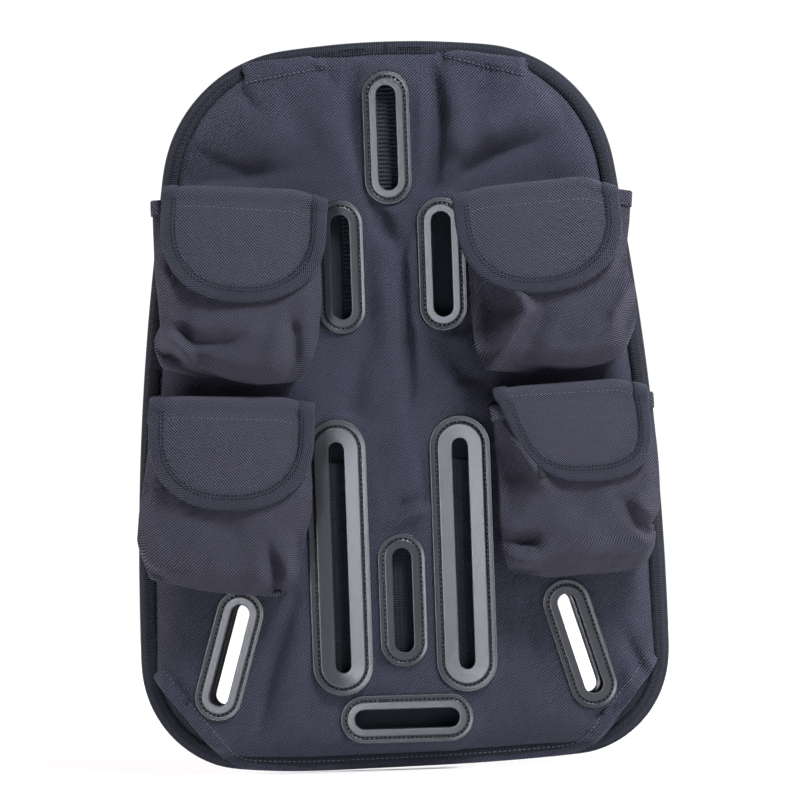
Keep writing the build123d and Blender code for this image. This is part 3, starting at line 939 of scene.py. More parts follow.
def outward(line):
    """Unit vectors from a line away from the middle of the pad."""
    side = to_right(np.gradient(line, axis=0))
    return side * np.where(np.sum(side * line, axis=1) < 0, -1.0, 1.0)[:, None]


def hem_depth(p):
    """Depth of the cloth under a hem: the panel, or the edge tape where that stands higher."""
    return np.maximum(panel_depth(p), RIM + 1.3)


def make_hem(name, rows):
    """A hem's piece from the rows of its cross-sections."""
    piece = swept_piece(name + "_cloth", rows, panel_twill)
    place(piece, "root", "panel_fabric", name)


def hem_on(line, widths, taper=(0.0, 0.0)):
    """Rows of cross-sections of a hem rolled over a free edge, and the line of its seam."""
    out = outward(line)
    run = run_along(line)
    share = run / run[-1]
    narrowing = taper[0] * smooth(0.2 - share, 0, 0.2) + taper[1] * smooth(share, 0.8, 1.0)
    line = line - out * narrowing[:, None]
    wave = 0.5 * np.sin(run * 0.19) + 0.35 * np.sin(run * 0.43 + 1)
    w = widths[0] + (widths[1] - widths[0]) * share - narrowing
    # (distance outside the edge, raise), from the seam over the fold and back underneath
    profile = (
        (-w - 2, -0.45), (-w - 0.5, 0.1), (-w + 0.6, 0.7), (-w * 0.6, 1.2), (-1, 1.1), (0.5, 0.5),
        (0.9, -0.3), (0.4, -1.1), (-2, -1.5), (1 - w, -1.4), (1 - w, -0.95), (-2, -0.95), (-0.3, -0.6),
        (-0.3, -0.3),
    )
    rows = []
    for reach, raise_by in profile:
        flat = line + out * (reach + 0.2 * wave)[:, None]
        rows.append(at_depth(flat, hem_depth(flat) + raise_by + 0.12 * wave))
    return np.transpose(rows, (1, 0, 2)), line - out * (w - 0.2)[:, None]


def make_top_hem(name):
    """The hem of a top corner; gives its seam."""
    line = corner_line(CORNERS[name], 1.0)
    line = line if line[0, 0] < line[-1, 0] else line[::-1]
    rows, seam = hem_on(line, HEM_SHAPE[name], TOP_TAPER[name])
    make_hem(name, rows)
    return seam_on(seam[1:-1], 0.7)


def seam_on(line, raise_by):
    """A seam of (x, z) laid on a hem: points and normals."""
    n = normals_of(hem_depth, line)
    return at_depth(line, hem_depth(line)) + n * raise_by, n


def make_bottom_hems():
    """The hems of both bottom corners and of the bottom edge, which meet end to end; gives their one seam."""
    line, left_end, right_end = bottom_line()
    out = outward(line)
    parts = {
        "bottom_left_hem": line[:, 0] < left_end + 2,
        "bottom_right_hem": line[:, 0] > right_end - 2,
    }
    for name, here in parts.items():
        rows, _ = hem_on(line[here], HEM_SHAPE[name])
        make_hem(name, rows)
    middle = (line[:, 0] > left_end) & (line[:, 0] < right_end)
    # (distance inside the edge, share of the panel's own depth, raise)
    profile = (
        (9.6, 1, -0.5), (7.6, 1, -0.05), (5.6, 1, 0.15), (4.4, 1, 0.35), (2.4, 0.6, 2.0), (0.4, 0, 4.1),
        (-0.3, 0, 3.2), (0.3, 0, 2.3), (3, 0, 2.7), (7, 0, 3.0), (9, 0, 3.4),
    )
    run = np.linspace(0, 47, middle.sum())
    wave = 0.3 * np.sin(run) + 0.2 * np.sin(run * 0.4)
    rows = []
    for reach, own, raise_by in profile:
        flat = (line - out * reach)[middle]
        depth = panel_depth(flat) * own + raise_by + 0.3 * wave
        rows.append(np.column_stack((flat[:, 0], depth, flat[:, 1] + 0.3 * wave)))
    make_hem("bottom_edge_hem", np.transpose(rows, (1, 0, 2)))
    share = smooth(line[:, 0], left_end - 6, left_end + 14) * smooth(right_end + 6 - line[:, 0], 0, 20)
    seam = line - out * (6.3 - 1.5 * share)[:, None]
    return seam_on(smoothed(seam, 20)[2:-2], 0.42)


make_front_panel()
hem_seams = [(*make_top_hem(name), *TOP_HEM_STITCH) for name in TOP_TAPER]
hem_seams.append((*make_bottom_hems(), *BOTTOM_HEM_STITCH))
place(stitch_piece("hem_stitches", hem_seams, pale_thread), "root", "panel_fabric")


# ---------------------------------------------------------------- edge tape

# Left and right end of each bar tack on the top tape, and the rows of each tack, mm inside the edge
BAR_TACKS = ((-24.0, -8.0), (6.0, 21.0))
TACK_ROWS = (3.2, 4.4, 5.6)
# Depth of the tape on the back, and how far the tape stands outside the pad's outline
TAPE_BACK, TAPE_OUTSIDE = 0.3, 0.2
# Cross-section of the tape: (share of its width inside the edge, share of the way from back to front, raise)
TAPE_PROFILE = (
    (1.0, 0, 0.55), (0.97, 0, -0.1), (0.5, 0, -0.3), (0.12, 0, 0.0), (0.0, 0.35, 0), (0.0, 0.62, 0),
    (0.12, 0.9, 0.1), (0.5, 1, 0.1), (0.97, 1, 1.1), (1.0, 1, 0.5), (0.5, 1, -0.7), (0.16, 0.8, -0.4),
    (0.1, 0.45, 0), (0.16, 0.2, 0.5), (0.5, 0, 0.5),
)


def tape_hold(p):
    """1 where the tape holds the front panel too, 0 at the loose corners and along the bottom."""
    return 1 - np.maximum(at_corner(p), smooth(-p[:, 1] - 178, 0, 6))


def make_edge_tape():
    """Ribbed tape folded round the edge of the pad, with two rows of stitches near its inner edge."""
    count = 640
    ring = outline_points(count)
    out = ring_normals(ring)
    run = np.cumsum(np.linalg.norm(ring - np.roll(ring, 1, 0), axis=1))
    hold = tape_hold(ring)
    for _ in range(6):
        hold = (np.roll(hold, 1) + hold + np.roll(hold, -1)) / 3
    front = RIM + 0.4 + 2.2 * hold
    wave = 0.25 * np.sin(run * 0.11) + 0.18 * np.sin(run * 0.29 + 2)
    width = TAPE_WIDTH + 0.35 * wave

    def inside_by(share):
        """The line that lies a share of the tape's width inside the edge."""
        return ring - out * (share * width - TAPE_OUTSIDE)[:, None]

    rows = []
    for share, level, rise in TAPE_PROFILE:
        depth = TAPE_BACK + (front - TAPE_BACK) * level + rise + 0.12 * wave
        rows.append(at_depth(inside_by(share), depth))
    weave = np.stack(np.meshgrid(run, np.arange(len(TAPE_PROFILE)) * 1.9, indexing="ij"), -1)
    piece = swept_piece("edge_tape_cloth", np.transpose(rows, (1, 0, 2)), edge_tape, weave, closed=True)
    place(piece, "root", "edge_tape", "edge_binding")
    seams = []
    for share in (0.8, 0.62):
        depth = front + 0.1 + 1.0 * (share - 0.5) / 0.47 + 0.1 * wave
        points = ring_closed(at_depth(inside_by(share), depth))
        seams.append((points, straight_normals(points), *EDGE_STITCH))
    points = ring_closed(at_depth(inside_by(0.78), TAPE_BACK - 0.25))
    seams.append((points, straight_normals(points, -1.0), *EDGE_STITCH))
    place(stitch_piece("edge_tape_stitches", seams, black_thread), "root", "edge_tape")
    tacks = []
    for left, right in BAR_TACKS:
        at = np.flatnonzero((ring[:, 0] > left) & (ring[:, 0] < right) & (ring[:, 1] > 0))
        at = at[np.argsort(ring[at, 0])]
        across = np.linspace(left, right, 24)
        depth = np.interp(across, ring[at, 0], front[at]) + 0.35
        for inside in TACK_ROWS:
            row = (ring - out * inside)[at]
            line = np.column_stack([np.interp(across, ring[at, 0], row[:, i]) for i in (0, 1)])
            tacks.append((at_depth(line, depth), straight_normals(line), *TACK_STITCH))
    place(stitch_piece("top_bar_tacks", tacks, tack_thread), "root", "edge_tape")


make_edge_tape()


# ---------------------------------------------------------------- slot patches

# Distance between the points round a patch and round a rear patch
PATCH_SPACING, REAR_SPACING = 1.3, 1.6
# A patch with a border this wide is one of the two long ones
WIDE_BORDER = 9.0
# Height of a patch's band above its seat
BAND_TOP = 1.2


def patch_widths(slot):
    """Widths of a patch from its slot's edge: the inner band, the stitched groove, the whole border."""
    if slot.border < WIDE_BORDER:
        return 4.2, 5.0, slot.border
    return 7.9, 8.8, slot.border + 0.9


def patch_profile(slot):
    """Cross-section of a patch: (distance outside the slot, height), from the slot's edge outwards."""
    band, groove, border = patch_widths(slot)
    rise = PATCH_DISH.get(slot.name, 0.0) * band
    crown = BAND_TOP + rise
    return (
        (0.0, -1.2), (0.0, 0.6), (0.08, 1.0), (0.3, 1.17), (0.6, BAND_TOP), (1.0, BAND_TOP + rise * 0.05),
        (band - 0.8, BAND_TOP + rise * 0.9), (band - 0.3, crown), (band, crown - 0.12),
        (band + 0.2, crown - 0.35), (groove - 0.3, 0.55), (groove, 0.45), (groove + 0.3, 0.55),
        (groove + 0.5, 0.95), (groove + 0.8, 1.05), (border - 1.2, 1.08), (border - 0.9, 1.25),
        (border - 0.4, 1.3), (border - 0.1, 1.05), (border, 0.6), (border, -0.35), (border * 0.5, -0.4),
    )


def make_moulding(name, slot, profile, spacing, seat, shift=(0.0, 0.0)):
    """A moulded frame round a slot: its profile (distance outside the slot, height) swept over its seat."""
    count = int((4 * slot.straight + 2 * math.pi * slot.radius) / spacing)
    rows = []
    for out, height in profile:
        ring = slot.ring(out, count) + shift
        rows.append(at_depth(ring, height + seat(ring)))
    piece = swept_piece(name + "_moulding", np.transpose(rows, (1, 0, 2)), patch_rubber, closed=True)
    place(piece, "root", "patch_rubber", name)


def make_patch(slot):
    """A patch on the front panel; gives the seam in its groove."""
    make_moulding(slot.name, slot, patch_profile(slot), PATCH_SPACING, lambda p: patch_plane(slot, p))
    groove = ring_closed(slot.ring(patch_widths(slot)[1], 160))
    points = at_depth(groove, patch_plane(slot, groove) + 0.62)
    return points, straight_normals(groove), *PATCH_STITCH


def make_rear_patch(slot):
    """The flat patch round a waist opening in the back; gives the seam in its groove."""
    shift = REAR[slot.name] - slot.centre
    profile = (
        (0.0, 1.8), (0.0, -0.4), (0.4, -0.75), (3.4, -0.8), (4.0, -0.45), (5.0, -0.45), (5.5, -0.8),
        (slot.border - 0.4, -0.75), (slot.border, -0.3), (slot.border, 0.6), (3.0, 0.7),
    )
    make_moulding("rear_" + slot.name, slot, profile, REAR_SPACING, lambda p: 0.0, shift)
    groove = ring_closed(slot.ring(4.5, 120) + shift)
    return at_depth(groove, -0.5), straight_normals(groove, -1.0), *REAR_PATCH_STITCH


patch_seams = [make_patch(slot) for slot in SLOTS]
patch_seams += [make_rear_patch(slot) for slot in WAIST]
place(stitch_piece("patch_stitches", patch_seams, black_thread), "root", "patch_rubber")


# ---------------------------------------------------------------- pockets

# How each pocket hangs: edges of its front, left and right as (b, a) and bottom as (a, b), how far its mouth
# sags at each end, how far its front bulges, and the folds of its front as (points (a, b), heights, width)
POCKET_LOOKS = {
    "upper_left": {
        "left": (
            (0, -41), (-18, -40), (-34, -39), (-54, -36), (-70, -34), (-80, -37), (-87, -37), (-95, -33),
        ),
        "right": ((0, 43), (-12, 45), (-30, 49), (-50, 51), (-66, 50.5), (-80, 50), (-88, 48), (-95, 41)),
        "bottom": (
            (-37, -86), (-33, -90), (-24, -88), (-14, -87.5), (-2, -91.5), (12, -94.5), (25, -96),
            (38, -94.5), (46, -89), (50, -81),
        ),
        "mouth": (2.5, 3.0), "bulge": 4.0,
        "folds": (
            (((-35, -73), (-26, -75.5), (-19.5, -81.5), (-15, -88)), (1.5, 4.2, 3.2, 0.5), 2.7),
            (((-30, -66), (-22, -70), (-16, -76), (2, -75), (14, -72)), (-0.5, -3.4, -3.2, -2.0, 0), 3.4),
            (((-34, -81), (-27, -83), (-22, -88)), (-3.0, -4.0, -1.5), 2.6),
            (((33, -58), (37, -68), (38, -82), (33, -95)), (0, -3.4, -3.2, -0.6), 3.4),
            (((30, -64), (27, -80), (20, -94)), (0, 1.8, 0.4), 4.5),
            (((-37, -26), (-34, -48), (-31, -68)), (0, 1.4, 1.8), 5),
            (((-14, -58), (14, -66), (34, -58)), (0, 1.6, 0), 8),
        ),
    },
    "upper_right": {
        "left": ((0, -46), (-30, -46.5), (-60, -47.5), (-84, -48), (-95, -44)),
        "right": (
            (0, 43), (-7, 42.5), (-19, 41), (-37, 37.5), (-49, 37.5), (-60, 40), (-76, 40), (-86, 37),
            (-95, 30),
        ),
        "bottom": (
            (-48, -87), (-44, -91), (-38, -92), (-31, -90), (-17, -88.5), (-6, -91.5), (4, -94), (20, -94.5),
            (31, -91), (40, -82),
        ),
        "mouth": (3.0, 6.2), "bulge": 3.6,
        "folds": (
            (
                ((-27, -46), (-21, -56), (-19, -63), (-26, -73), (-33, -81), (-40, -90)),
                (0.5, 3.8, 5.0, 4.8, 4.4, 2.0),
                3.6,
            ),
            (((-38, -40), (-37, -60), (-41, -74), (-45, -86)), (-2, -8.5, -7.5, -4), 8.5),
            (((-8, -56), (-11, -68), (-19, -80), (-24, -88)), (0, -2.2, -2.8, -1.0), 4.8),
            (((41, -52), (33, -60), (27, -68), (24, -79)), (2.6, 2.8, 2.4, 0), 2.8),
            (((41, -62), (35, -70), (30, -84)), (-2.4, -3.0, -0.8), 3.8),
            (((35, -42), (30, -52), (22, -60)), (-2.4, -1.8, 0), 3.4),
            (((-16, -86), (0, -80), (12, -82)), (0.8, -1.6, 0), 5),
        ),
    },
    "lower_left": {
        "left": ((0, -37), (-22, -38), (-40, -40), (-58, -42), (-76, -43), (-84, -41.5), (-95, -36)),
        "right": ((0, 45), (-20, 48), (-39, 49.5), (-55, 49.5), (-66, 47.5), (-78, 45), (-95, 42)),
        "bottom": (
            (-43, -81), (-37, -90), (-24, -92), (-11, -95), (6, -97), (24, -98), (34, -97), (43, -92),
            (47, -84),
        ),
        "mouth": (0.5, 3.0), "bulge": 4.2,
        "folds": (
            (((25, -68), (28.5, -78), (30, -88), (31, -98)), (0, -3.6, -4.0, -2.0), 2.8),
            (((37, -72), (37.5, -84), (38, -96)), (0, 2.2, 1.0), 3.4),
            (((20, -76), (22, -88), (22, -98)), (0, 1.8, 0.6), 4),
            (((48, -56), (41, -66), (42, -82)), (-1.5, -3.0, -2.4), 3.2),
            (((-42, -78), (-34, -86), (-22, -92)), (-2.4, -2.2, -0.5), 2.8),
            (((-44, -40), (-38, -60), (-30, -74)), (1.2, 1.6, 0), 5),
            (((-10, -60), (10, -66), (26, -62)), (0, -1.6, 0), 8),
        ),
    },
    "lower_right": {
        "left": ((0, -44), (-9, -43), (-40, -42.5), (-62, -43.5), (-86, -43.5), (-95, -41)),
        "right": (
            (0, 41.5), (-27, 42.5), (-42, 42.5), (-58, 42), (-66, 41), (-73, 36), (-77, 36.5), (-80, 39),
            (-88, 36), (-95, 31),
        ),
        "bottom": (
            (-44, -86), (-41, -89), (-27, -92), (-14, -91.5), (6, -91), (25, -92), (32, -91.5), (40, -84),
        ),
        "mouth": (1.6, 1.0), "bulge": 3.6,
        "folds": (
            (((-41, -72), (-34, -74), (-27, -74.5), (-25, -80)), (-2.4, -5.0, -4.4, -0.6), 3.4),
            (((-40, -82), (-31, -84), (-22, -81)), (1.0, 3.6, 0.8), 2.6),
            (((-43, -86), (-34, -89), (-26, -89)), (-2.6, -3.2, -0.4), 2.2),
            (((-40, -8), (-32, -22), (-24, -36), (-18, -48)), (2.6, 3.2, 3.0, 0.6), 3.4),
            (((-40, -20), (-37, -38), (-37, -56)), (-3, -5, -2), 6.5),
            (((40, -74), (33, -73), (27, -67), (22, -57), (14, -50)), (-4.2, -4.4, -3.4, -2.0, 0), 3.2),
            (((41, -66), (32, -61), (27, -53)), (1.8, 2.2, 0), 3.4),
            (((39, -82), (31, -77), (22, -74)), (1.6, 2.0, 0), 3.2),
            (((-20, -62), (2, -72), (16, -84)), (0, 1.6, 0), 8),
        ),
    },
}

# Looks that the flaps share, unless a flap has its own below: lean per mm of drop, place of the seam under
# the fold, fullness of the round end, and width
FLAP_SHAPE = dict(lean=0.0, line=7.5, full=2.35, wide=1.0)

# How each flap lies: shift across, lengths of its straight sides and round end, height of its top above the
# mouth, unevenness, and droop of its left and right end
FLAP_LOOKS = {
    "upper_left": dict(shift=8.0, straight=17.0, round=43.0, rise=6.8, wave=1.0, droop=(1.6, 5.0)),
    "upper_right": dict(shift=-7.2, straight=14.0, round=44.2, rise=4.6, wave=0.9, droop=(3.0, 7.5)),
    "lower_left": dict(shift=6.6, straight=16.5, round=42.0, rise=6.4, wave=1.0, droop=(1.2, 4.0)),
    "lower_right": dict(
        shift=-1.2, straight=17.0, round=34.5, rise=7.6, wave=1.2, droop=(0.5, 5.0),
        lean=0.235, line=1.0, full=2.9, wide=0.935,
    ),
}

# How much the folds of a bag stand out, and the thickness of pocket cloth
POCKET_RELIEF = 1.85
CLOTH = 1.0


class Pocket:
    """A pocket: its own axes, the size of its bag, and how its bag and flap look."""

    def __init__(self, name):
        self.name = name
        self.looks = POCKET_LOOKS[name]
        self.flap = FLAP_SHAPE | FLAP_LOOKS[name]
        joint = next(j for j in frame["joints"] if j["child"] == name + "_flap")
        self.body = joint["child"]
        axis = np.array(joint["axis"], float)
        self.across = -axis * (1, -1, 1)
        self.up = np.array((-self.across[2], 0.0, self.across[0]))
        self.out = np.array((0.0, 1.0, 0.0))
        fold_line = np.array(joint["pos_m"]) / MM * (1, -1, 1)
        self.fold_depth = fold_line[1] - PANEL
        self.origin = fold_line * (1, 0, 1) + (0, PANEL, 0)
        bag = self.local(node_points(name + "_pocket_bag"))
        mouth = bag[bag[:, 1] > bag[:, 1].max() - 0.5]
        middle = (mouth[:, 0].min() + mouth[:, 0].max()) / 2
        self.origin = self.origin + self.up * bag[:, 1].max() + self.across * middle
        self.half = np.ptp(mouth[:, 0]) / 2
        self.height = np.ptp(bag[:, 1])
        self.mouth_depth = mouth[:, 2].max()
        self.bottom_depth = bag[:, 2].max()

    def local(self, points):
        reach = points - self.origin
        return np.column_stack((reach @ self.across, reach @ self.up, reach @ self.out))

    def place(self, abc):
        """Points (a, b, c) of the pocket as points (x, depth, z) of the pad."""
        return self.origin + abc[..., :1] * self.across + abc[..., 1:2] * self.up + abc[..., 2:] * self.out

    def turned(self, normals):
        """Directions (a, b, c) of the pocket as directions (x, depth, z) of the pad."""
        return normals[..., :1] * self.across + normals[..., 1:2] * self.up + normals[..., 2:] * self.out

    def edge(self, side, b):
        """Left or right edge of the bag's front at height b."""
        heights, places = np.array(self.looks[side], float).T
        return np.interp(-np.asarray(b, float), -heights, places)

    def front(self, ab):
        """How far the bag's front stands out of the panel at (a, b)."""
        drop = np.clip(-ab[:, 1] / self.height, 0, 1)
        left, right = self.edge("left", ab[:, 1]), self.edge("right", ab[:, 1])
        share = np.clip((ab[:, 0] - left) / (right - left), 0, 1)
        depth = self.mouth_depth + (self.bottom_depth - self.mouth_depth) * drop**0.85
        depth += self.looks["bulge"] * (1 - (2 * share - 1) ** 2) * np.sin(math.pi * drop) ** 0.7
        beside = np.minimum(ab[:, 0] - left, right - ab[:, 0])
        depth -= 4.6 * (1 - smooth(beside, -1, 9)) ** 1.5 * smooth(drop, 0.02, 0.3)
        above = ab[:, 1] - self.bottom(ab[:, 0])
        depth -= 7.5 * (1 - smooth(above, -2, 13)) ** 1.6 * smooth(drop, 0.5, 0.7)
        relief = POCKET_RELIEF * sum(fold(ab, *each) for each in self.looks["folds"])
        number = list(POCKET_LOOKS).index(self.name)
        relief += 0.9 * ripple(ab, 30, 21 + number)
        relief += 0.3 * ripple(ab, 12, 31 + number)
        return depth + relief * smooth(-ab[:, 1], 6, 24)

    def lie(self, ab):
        """The depth that a flap resting on the bag's front keeps, without the bag's own folds."""
        drop = np.clip(-ab[:, 1] / self.height, 0, 1)
        share = np.clip(ab[:, 0] / self.half, -1, 1)
        depth = self.mouth_depth + (self.bottom_depth - self.mouth_depth) * drop**0.85
        return depth + self.looks["bulge"] * (1 - share**2) * np.sin(math.pi * drop) ** 0.7

    def mouth_sag(self, share):
        """How far the mouth hangs down at a share of its width."""
        left, right = self.looks["mouth"]
        return left * (1 - share) ** 4 + right * share**4

    def bottom(self, a):
        """Height of the bottom edge of the bag's front at a."""
        places, heights = np.array(self.looks["bottom"], float).T
        return np.interp(a, places, heights)


# Size of a bag's grid
SIDE_COLUMNS, FRONT_COLUMNS = 16, 78
FRONT_ROWS, BOTTOM_ROWS = 84, 16
# Rows of the grid that the hem of the mouth covers, and the place of its seam below the mouth
HEM_ROWS = 12
HEM_SEAM = 6.6
# Cross-section of the hem of a mouth: (drop below the mouth, raise)
MOUTH_HEM = (
    (8.0, 0.15), (7.8, 0.85), (4, 1.0), (0.6, 0.95), (-0.5, 0.4), (-0.8, -0.5), (-0.5, -1.4), (0.6, -1.9),
    (6, -1.9), (6.2, -1.2), (1, -1.1), (0.2, -0.5), (0.6, 0.1),
)


def relax(grid, rounds, hold_rows, hold_columns):
    """Evens out a grid of points, with its first rows and its outer columns held."""
    for _ in range(rounds):
        inner = grid[1:-1, 1:-1]
        mean = (grid[:-2, 1:-1] + grid[2:, 1:-1] + grid[1:-1, :-2] + grid[1:-1, 2:]) / 4
        moved = inner + (mean - inner) * 0.5
        keep = np.zeros(inner.shape[:2], bool)
        keep[:hold_rows] = True
        keep[:, :hold_columns] = True
        keep[:, -hold_columns:] = True
        grid[1:-1, 1:-1] = np.where(keep[..., None], inner, moved)
    return grid


def bag_grid(pocket):
    """The bag's cloth as a grid of (a, b, c): sides and front from the mouth down, then the bottom."""
    ones = np.ones(SIDE_COLUMNS)
    share = np.concatenate((0 * ones, np.linspace(0, 1, FRONT_COLUMNS), ones))
    side = np.linspace(-0.06, 1, SIDE_COLUMNS, endpoint=False)
    level = np.concatenate((side, np.ones(FRONT_COLUMNS), side[::-1]))
    gusset = np.sin(np.clip(level, 0, 1) * math.pi)
    turn = np.concatenate((-ones, np.zeros(FRONT_COLUMNS), ones))
    lean = smooth(level, 0.0, 1.0)
    rows = []
    for i in range(FRONT_ROWS):
        drop = i / (FRONT_ROWS - 1)
        left = pocket.edge("left", -drop * pocket.height)
        right = pocket.edge("right", -drop * pocket.height)
        front_a = left + (right - left) * share
        front_b = -drop * pocket.height + (pocket.bottom(front_a) + pocket.height) * drop**3
        depth = pocket.front(np.column_stack((front_a, front_b)))
        # the sides run from the seam on the panel to the edge of the front, and are drawn in between
        seam = np.clip(front_a, -pocket.half, pocket.half)
        a = np.where(turn == 0, front_a, seam + (front_a - seam) * lean)
        a = a - turn * gusset * (1.0 + 2.6 * drop) * (0.8 + 0.5 * np.sin(drop * 9 + turn))
        b = front_b * (0.965 + 0.035 * lean) - pocket.mouth_sag(share) * (1 - drop) ** 3
        rows.append(np.column_stack((a, b, depth * level)))
    last = rows[-1]
    centre = np.array((last[:, 0].mean(), -pocket.height + 1.5, 0.0))
    for i in range(1, BOTTOM_ROWS + 1):
        q = i / BOTTOM_ROWS
        row = last * (1 - q) + centre * q
        row[:, 1] = last[:, 1] * (1 - q) + centre[1] * q - 1.8 * math.sin(q * math.pi) * level
        rows.append(row)
    return relax(np.array(rows), rounds=2, hold_rows=3, hold_columns=1)


def grid_normals(grid):
    """Unit normals of a grid of points."""
    down = np.gradient(grid, axis=0)
    over = np.gradient(grid, axis=1)
    n = np.cross(down, over)
    size = np.linalg.norm(n, axis=2, keepdims=True)
    return n / np.clip(size, 1e-9, None)


def make_bag(pocket):
    """A pocket's bag: its piece, its grid and the grid's normals."""
    grid = bag_grid(pocket)
    n = grid_normals(grid)
    if n[FRONT_ROWS // 2, SIDE_COLUMNS + FRONT_COLUMNS // 2, 2] < 0:
        n = -n
    rows, columns = grid.shape[:2]
    weave = np.stack(np.meshgrid(run_along(grid[4]), -run_along(grid[:, columns // 2])), -1).reshape(-1, 2)
    points, normals = (each.reshape(-1, 3) for each in (pocket.place(grid), pocket.turned(n)))
    quads = grid_quads(rows, columns)[:, TURNED]
    piece = sheet_piece(pocket.name + "_bag_cloth", points, quads, normals, CLOTH, pocket_twill, weave)
    place(piece, "root", "pocket_fabric", pocket.name + "_pocket_bag")
    return piece, grid, n


def make_pocket_hem(pocket, bag, grid, n):
    """The folded hem round the mouth; gives its seam."""
    columns = grid.shape[1]
    over = run_along(grid[2])
    top = grid[:HEM_ROWS]
    drops = top[0, :, 1] - top[:, :, 1]

    def below_mouth(drop, column):
        """The bag's cloth at a drop below the mouth, in one column of its grid."""
        return np.array([np.interp(drop, drops[:, column], top[:, column, i]) for i in range(3)])

    rows, weave = [], []
    for j in range(1, columns - 1):
        row = []
        for drop, raise_by in MOUTH_HEM:
            at = below_mouth(max(drop, 0), j)
            at[1] = grid[0, j, 1] - drop
            row.append(at + n[1, j] * raise_by)
            weave.append((over[j], drop))
        rows.append(row)
    rows = pocket.place(np.array(rows))
    piece = swept_piece(pocket.name + "_mouth_hem", rows, flap_twill, np.array(weave))
    place(piece, "root", "pocket_fabric", pocket.name + "_pocket_hem")
    line = np.array([below_mouth(HEM_SEAM, j) for j in range(2, columns - 2)])
    normal = n[2, 2:-2]
    return pocket.place(line + normal * 0.95), pocket.turned(normal), *MOUTH_STITCH


# ---------------------------------------------------------------- flaps

# Gap between the lid and the bag, half a flap's width, and the place along a flap where its cloth starts
LID_GAP = 2.6
FLAP_HALF = 43.0
FLAP_START = 0.4
# Size of the quads of a flap's sheet
FLAP_STEP = 1.5
# Cross-section of a flap's tape: (distance inside the edge, height above the cloth's middle)
FLAP_TAPE = (
    (7.7, 0.75), (7.5, 1.2), (4, 1.45), (0.8, 1.25), (-0.4, 0.75), (-0.75, 0), (-0.4, -0.75), (0.8, -1.15),
    (4, -1.25), (7.5, -1.1), (7.7, -0.65), (4, -0.6), (0.2, -0.45), (0, 0), (0.2, 0.45), (4, 0.6),
)
# Seams of a flap's tape: (distance inside the edge, height, side)
FLAP_SEAMS = ((6.9, 1.3, 1), (5.1, 1.42, 1), (6.4, -1.22, -1))


def flap_surface(pocket, st):
    """Flap coordinates (s across, t along from the panel) to (a, b, c) on the flap's middle surface."""
    looks = pocket.flap
    rise = looks["rise"]
    top = pocket.mouth_depth + LID_GAP + 1.0
    arc = np.array((
        (0.6, rise - 9.0), (0.7, rise - 3.0), (2.2, rise - 0.9), (5.0, rise - 0.3), (10.0, rise),
        (15.0, rise), (top - 3.2, rise - 0.5), (top - 1.0, rise - 1.7), (top, rise - 3.8),
        (top + 0.2, rise - 7.0),
    ))
    run = run_along(arc)
    bend = run[-1]
    s, t = st[:, 0], st[:, 1]
    c = np.interp(t, run, arc[:, 0])
    b = np.where(t <= bend, np.interp(t, run, arc[:, 1]), arc[-1, 1] - (t - bend))
    lid = smooth(rise - b, 1.5, 9.0)
    leaning = looks["lean"] * np.clip(rise - b, 0, None) * lid * (1 - s / FLAP_HALF) * 0.75
    a = s * looks["wide"] + looks["shift"] + leaning
    over_bag = np.clip(a, pocket.edge("left", b) + 9, pocket.edge("right", b) - 9)
    resting = pocket.lie(np.column_stack((over_bag, np.clip(b, -46, -1)))) + LID_GAP
    wave = looks["wave"] * (np.sin(a * 0.075 + b * 0.05) + 0.5 * np.sin(a * 0.16 - b * 0.09 + 1.0))
    c = c * (1 - lid) + (resting + 0.35 * wave * smooth(-b, 0, 30)) * lid
    c = c + 0.9 * smooth(-b, 30, 52)
    droop = np.where(s < 0, *looks["droop"]) * smooth(np.abs(s), 20, FLAP_HALF + 1) ** 1.6
    b = b - droop * smooth(t, -2, 4) * (1 - 0.5 * smooth(-b, 0, 30))
    return np.column_stack((a, b, c))


def flap_bend(pocket):
    """Length along the flap at which it turns down in front of the pocket."""
    t = np.linspace(15, 70, 400)
    abc = flap_surface(pocket, np.column_stack((np.zeros(400), t)))
    return t[np.argmax(abc[:, 1] < pocket.flap["rise"] - 4.0)]


def surface_frame(pocket, st):
    """Points and unit normals of the flap."""
    moves = np.eye(2) * 0.3
    ds, dt = (flap_surface(pocket, st + move) - flap_surface(pocket, st - move) for move in moves)
    n = np.cross(ds, dt)
    n /= np.linalg.norm(n, axis=1)[:, None]
    flip = -1.0 if np.median(n[st[:, 1] > st[:, 1].mean()][:, 2]) < 0 else 1.0
    return flap_surface(pocket, st), n * flip


def flap_outline(pocket, straight):
    """Points round a flap's free edge, from its left root over the round end to its right root."""
    turns = np.linspace(0, math.pi, 180)
    over, down = np.cos(turns), np.sin(turns)
    over = np.sign(over) * np.abs(over) ** (2 / pocket.flap["full"])
    reach = straight + pocket.flap["round"] * down ** (2 / pocket.flap["full"])
    bow = np.column_stack((-FLAP_HALF * over, reach))
    down_side = np.linspace(FLAP_START + 0.5, straight, 20, endpoint=False)
    left = np.column_stack((np.full(20, -FLAP_HALF), down_side))
    return resample(np.vstack((left, bow, left[::-1] * (-1, 1))), 170, closed=False)


